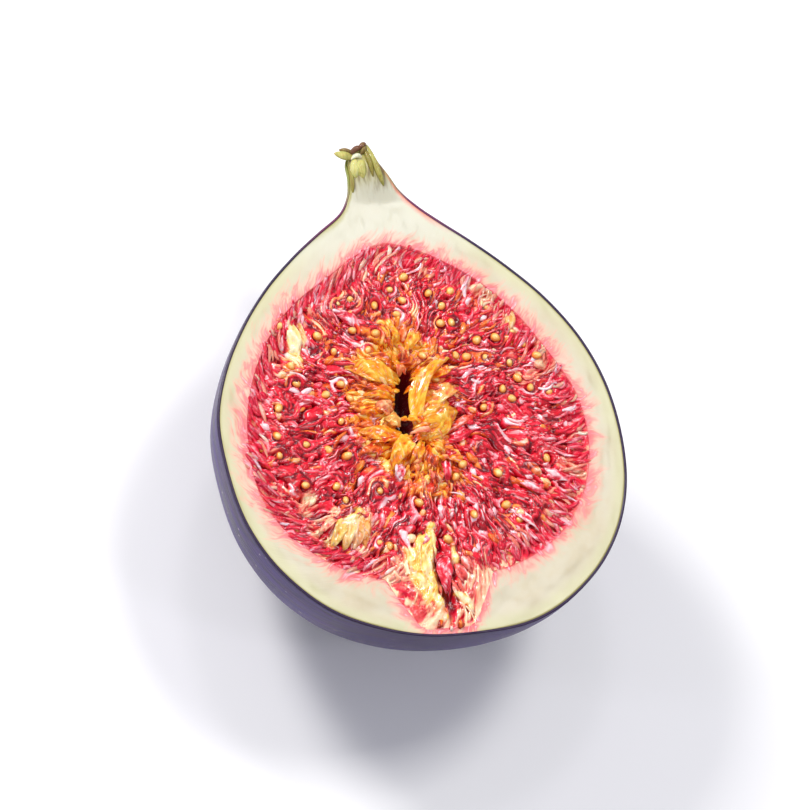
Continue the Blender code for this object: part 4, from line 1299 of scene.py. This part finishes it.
# flaps: thin arched sheets, pleated lengthwise and creased, and rolled down at the tip
def makeFlaps(name, rows, sink, seed):
    rng = np.random.default_rng(seed)
    q = np.linspace(0, 1, flaps["steps"])[None]
    root, tip = rows[:, None, :2], rows[:, None, 2:4]
    halfWidth, arch, bow, tone, amber, yellow, salmon = rows[:, 4:].T[..., None]
    beside = unit(leftOf(tip - root))
    flat = root + (tip - root) * q[..., None] + beside * (bow * np.sin(np.pi * q))[..., None]
    up = -sink + (arch + sink - 0.15) * np.sin(np.pi * q ** 0.85) ** 0.7 - sink * 0.9 * q ** 3
    fullness = np.sin(np.pi * q ** 1.15) ** 0.6 * (1 + 0.14 * np.sin(8 * q + 3 * rows[:, :1]))
    heights = flaps["thickness"] * np.minimum(1, fullness + 0.1) * np.minimum(1, halfWidth + 0.4)
    roll = rng.normal(0, 0.22, len(rows))[:, None] + 0 * q

    def creases(places):
        spot = places[..., :2]
        across = ((spot - flat[:, 1:-1, None]) * beside[:, :, None]).sum(-1)
        pleats = 0.1 * np.sin(across * 7.5 + 2.2 * softNoise(spot, 4.0, 96)) + 0.12 * softNoise(spot, 2.3, 92)
        wrinkles = 0.12 * softNoise(spot, 1.0, 93) + 0.06 * softNoise(spot, 0.5, 94)
        return (pleats + wrinkles) * np.minimum(1, halfWidth + 0.3)[..., None]

    # painted shade: darker toward the root
    given = {"blush": tone + 0.2 * (q - 0.4), "amber": amber, "yellow": yellow, "peach": salmon,
             "lit": 1 - 0.4 * (1 - q) ** 3}
    points, quads, tris, values = wetBodies(
        flat, up, halfWidth * fullness, heights, roll, flaps["sides"], given, creases)
    # painted light and shade: the pleats and wrinkles paler where raised, darker where sunk
    inner = points[:, :-2].reshape(len(rows), -1, flaps["sides"], 3)
    fold = np.concatenate([creases(inner).reshape(len(rows), -1), np.zeros((len(rows), 2))], 1)
    values["blush"] = np.clip(values["blush"] + fold, 0.03, 1)
    return makePiece(name, points, quads, tris, pulpFinish(name + "Flesh", *flaps["finish"]), values)


eye = {
    "count": 26,
    "length": (1.6, 3.6),
    "halfWidth": (0.14, 0.3),
    "thickness": 0.55,    # as a share of the width
    "steps": 9,
    "sides": 7,
    "finish": (0.3, 0.5, 0.4, 0.12),
}


# the eye's scales: slim overlapping tongues that lead from the mouth in to the pulp
def makeEye():
    rng = np.random.default_rng(101)
    count = eye["count"]
    inner, outer = pulpShape["eyeSpread"]
    reach = 20.5 + 8.4 * rng.uniform(0, 1, count) ** 0.9
    spread = np.interp(reach, (21.5, pulpShape["eyeReach"]), (inner * 0.85, outer * 0.75))
    across = rng.uniform(-1, 1, count)
    angle = pulpShape["eyeAngle"] + across * spread
    inward = polar(1, np.pi + angle + rng.normal(0, 0.2, count) + across * 0.25)[:, None]
    length = rng.uniform(*eye["length"], (count, 1))
    q = np.linspace(0, 1, eye["steps"])[None]
    bow = rng.normal(0, 0.12, (count, 1)) * length * 4 * q * (1 - q)
    flat = polar(reach, angle)[:, None] + inward * (length * (q - 0.35))[..., None] + leftOf(inward) * bow[..., None]
    crack = crackAt(flat)
    up = -0.15 + 0.28 * np.sin(np.pi * q) - 0.3 * q ** 3 + rng.normal(0, 0.04, (count, 1)) - 1.3 * crack
    widths = rng.uniform(*eye["halfWidth"], (count, 1)) * np.sin(np.pi * q ** 1.2) ** 0.7
    roll = rng.normal(0, 0.4, (count, 1)) + 0 * q
    # painted shade: darker in the crack
    given = {"blush": np.clip(0.55 + rng.normal(0, 0.2, (count, 1)) - 0.2 * crack, 0.1, 0.98),
             "yellow": patchAt(flat, "leaf"), "peach": np.maximum(patchAt(flat, "peach"), 0.3), "lit": 1 - 0.7 * crack}
    points, quads, tris, values = wetBodies(flat, up, widths, widths * eye["thickness"], roll, eye["sides"], given)
    return makePiece("eyeScales", points, quads, tris, pulpFinish("eyeScaleFlesh", *eye["finish"]), values)


# Stalk

stalk = {
    "olive": shown(150, 142, 58),
    "straw": shown(200, 196, 112),
    "brown": shown(108, 66, 38),
    "sap": shown(228, 228, 196),
    # path of each part: across, along, up; then half width, half height, tone, from 0 brown to 1 sap
    "parts": (
        (((-1.7, 37.6, 0.7), (-3.0, 37.9, 1.0), (-4.4, 38.4, 0.9)), 0.62, 0.3, 0.6),
        (((-1.5, 38.2, 0.8), (-2.6, 38.6, 1.0), (-3.6, 38.9, 0.8)), 0.32, 0.25, 0.2),
        (((-1.9, 34.6, 0.4), (-1.75, 36.0, 0.8), (-1.6, 37.7, 0.7)), 0.72, 0.4, 0.72),
        (((-1.0, 34.4, 0.6), (-0.9, 36.0, 0.95), (-0.7, 37.6, 0.8)), 0.66, 0.42, 0.66),
        (((-2.2, 37.2, 0.9), (-1.3, 37.7, 1.15), (-0.4, 37.2, 0.9)), 0.32, 0.25, 1.0),
        (((1.9, 33.0, 0.3), (1.1, 36.2, 1.0), (0.4, 39.5, 0.5)), 0.46, 0.4, 0.5),
        (((0.5, 34.4, 0.7), (0.25, 37.0, 1.15), (-0.1, 39.3, 0.6)), 0.36, 0.35, 0.36),
        (((-2.3, 38.0, 0.8), (-1.2, 38.7, 1.1), (-0.2, 38.9, 0.7)), 0.4, 0.3, 0.02),
        (((-0.9, 38.6, 0.8), (-0.1, 39.2, 1.0), (0.5, 39.5, 0.5)), 0.4, 0.3, 0.1),
        (((-0.7, 37.8, 0.9), (-0.2, 38.4, 1.2), (0.3, 38.9, 0.9)), 0.3, 0.28, 0.25),
        (((-2.6, 32.6, 0.1), (-2.45, 34.6, 0.5), (-2.2, 37.2, 0.5)), 0.3, 0.25, 0.4),
    ),
    "steps": 14,
    "sides": 14,
}


def stalkFinish():
    look = Look("driedStalk", {"Subsurface Weight": 0.15, "Subsurface Scale": 0.0006, "Coat Weight": 0.15})
    place = look.place()
    furrows = look.noise(look.stretched(place, (3.2, 0.5, 3.2)), 1.0, 3.0, 0.6)
    tone = look.value("tone") + (furrows - 0.5) * 0.5
    colour = look.ramp(tone, [
        (0.1, stalk["brown"]), (0.42, stalk["olive"]), (0.72, stalk["straw"]), (0.98, stalk["sap"])])
    return look.wires(Base_Color=colour, Roughness=0.4 + furrows * 0.3, Normal=look.bump(furrows, 0.2))


# the stalk's torn end: each part swells round a curve through its three points
def makeStalk():
    q = np.linspace(0, 1, stalk["steps"])
    paths, sizes = [], []
    for path, halfWidth, halfHeight, tone in stalk["parts"]:
        a, b, c = np.array(path)
        control = 2 * b - 0.5 * (a + c)
        paths.append(a * ((1 - q) ** 2)[:, None] + control * (2 * q * (1 - q))[:, None] + c * (q ** 2)[:, None])
        sizes.append((halfWidth, halfHeight, tone))
    paths, sizes = np.array(paths), np.array(sizes)
    swell = np.sin(np.pi * q[None]) ** 0.6

    def bumps(rings):
        return 0.08 * softNoise(rings, 1.2, 111)

    points, quads, tris, _ = taperedBodies(
        paths, sizes[:, :1] * swell, sizes[:, 1:2] * swell, 0 * paths[..., 0], stalk["sides"], bumps)
    tone = spreadValues(sizes[:, 2:3] + 0 * swell, stalk["sides"])
    return makePiece("stalkEnd", points, quads, tris, stalkFinish(), {"tone": tone})


def dress():
    skinPiece = makeSkin()
    print("skin made")
    fleshPiece = makeFlesh()
    print("flesh made")
    seedPlaces = seedRows()
    pulpPieces = [makeFolds(seedPlaces), makeFlorets(seedPlaces)]
    print("folds and florets made")
    pulpPieces += [makeThreads(), makeSeeds(seedPlaces), makeEye()]
    heartRows = np.concatenate([np.array(flaps["heart"], float), curlRows()])
    outerRows = np.array(flaps["outer"], float)
    pulpPieces += [makeFlaps("heartFlaps", heartRows, flaps["heartSink"], 91),
                   makeFlaps("outerFlaps", outerRows, flaps["outerSink"], 95)]
    print("pulp made")
    rindPieces = [skinPiece, fleshPiece, makeStalk()]
    print("stalk made")
    for pieces, node, slot in ((rindPieces, "fig_rind", "rind"), (pulpPieces, "fig_pulp", "pulp")):
        for piece in pieces:
            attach(piece, "root")
            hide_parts(node)
            print(piece.name, len(piece.data.loops) - 2 * len(piece.data.polygons), "triangles")


# Stage

stage = {
    "floorSize": 3.0,
    "floor": shown(252, 252, 253),
    "world": (0.88, 0.91, 1.0),
    "worldStrength": 0.36,
    # direction and distance in the picture's right, up and toward-camera axes, size, power, tint
    "lights": (
        ((-0.4, 0.75, 0.5), 0.6, 0.16, 2.9, (1.0, 0.98, 0.96)),
        ((0.5, 0.6, 0.62), 0.7, 0.18, 1.8, (1.0, 0.98, 0.96)),
        ((0.0, -0.6, 1.1), 0.8, 0.6, 0.5, (1.0, 1.0, 1.0)),
        ((-0.75, 0.1, 0.7), 0.6, 0.07, 0.28, (0.9, 0.86, 1.0)),
        ((0.15, 0.95, 0.8), 0.6, 0.07, 0.28, (0.95, 0.9, 1.0)),
        ((0.8, -0.1, 0.8), 0.6, 0.07, 0.22, (0.92, 0.88, 1.0)),
    ),
}

view = {
    "tilt": math.radians(26.0),      # off the cut face's normal
    "toward": math.radians(222.14),  # the way it leans
    "roll": math.radians(321.0),
    "distance": 1.36,
    "lens": 450.0,
    "target": (0.0005, -0.0005, 0.0215),
}


# the picture's right, up and toward-camera directions in the frame
def viewAxes():
    lean = Vector((math.cos(view["toward"]), math.sin(view["toward"]), 0))
    level = Vector((-lean.y, lean.x, 0))
    toward = lean * math.sin(view["tilt"]) + Vector((0, 0, math.cos(view["tilt"])))
    slope = lean * math.cos(view["tilt"]) - Vector((0, 0, math.sin(view["tilt"])))
    quarter = view["roll"] - math.radians(90)
    right = level * math.cos(view["roll"]) + slope * math.cos(quarter)
    up = level * math.sin(view["roll"]) + slope * math.sin(quarter)
    return right, up, toward


def placed(obj, right, up, toward, location):
    obj.matrix_world = Matrix.Translation(location) @ Matrix((right, up, toward)).transposed().to_4x4()
    bpy.context.scene.collection.objects.link(obj)


def setStage():
    right, up, toward = viewAxes()
    target = Vector(view["target"])
    camera = bpy.data.objects.new("camera", bpy.data.cameras.new("camera"))
    camera.data.lens = view["lens"]
    placed(camera, right, up, toward, target + toward * view["distance"])
    bpy.context.scene.camera = camera
    for number, (way, distance, size, power, tint) in enumerate(stage["lights"]):
        light = bpy.data.lights.new(f"softbox{number}", "AREA")
        light.size = size
        light.energy = power
        light.color = tint
        aim = (right * way[0] + up * way[1] + toward * way[2]).normalized()
        side = up.cross(aim).normalized()
        placed(bpy.data.objects.new(light.name, light), side, aim.cross(side), aim, target + aim * distance)
    look = Look("paleFloor", {"Roughness": 0.45, "Base Color": (*stage["floor"], 1.0), "Specular IOR Level": 0.3})
    half = stage["floorSize"] * 500
    corners = np.array([[-half, -half, 0], [half, -half, 0], [half, half, 0], [-half, half, 0]], float)
    corners[:, 2] -= fruit["cutHeight"]
    floor = makePiece("floor", corners, np.array([[0, 1, 2, 3]]), noTris, look.material)
    world = bpy.data.worlds.new("paleRoom")
    world.use_nodes = True
    world.node_tree.nodes["Background"].inputs["Color"].default_value = (*stage["world"], 1.0)
    world.node_tree.nodes["Background"].inputs["Strength"].default_value = stage["worldStrength"]
    bpy.context.scene.world = world
    bpy.context.scene.view_settings.view_transform = "Standard"
    print("stage set")


dress()
setStage()
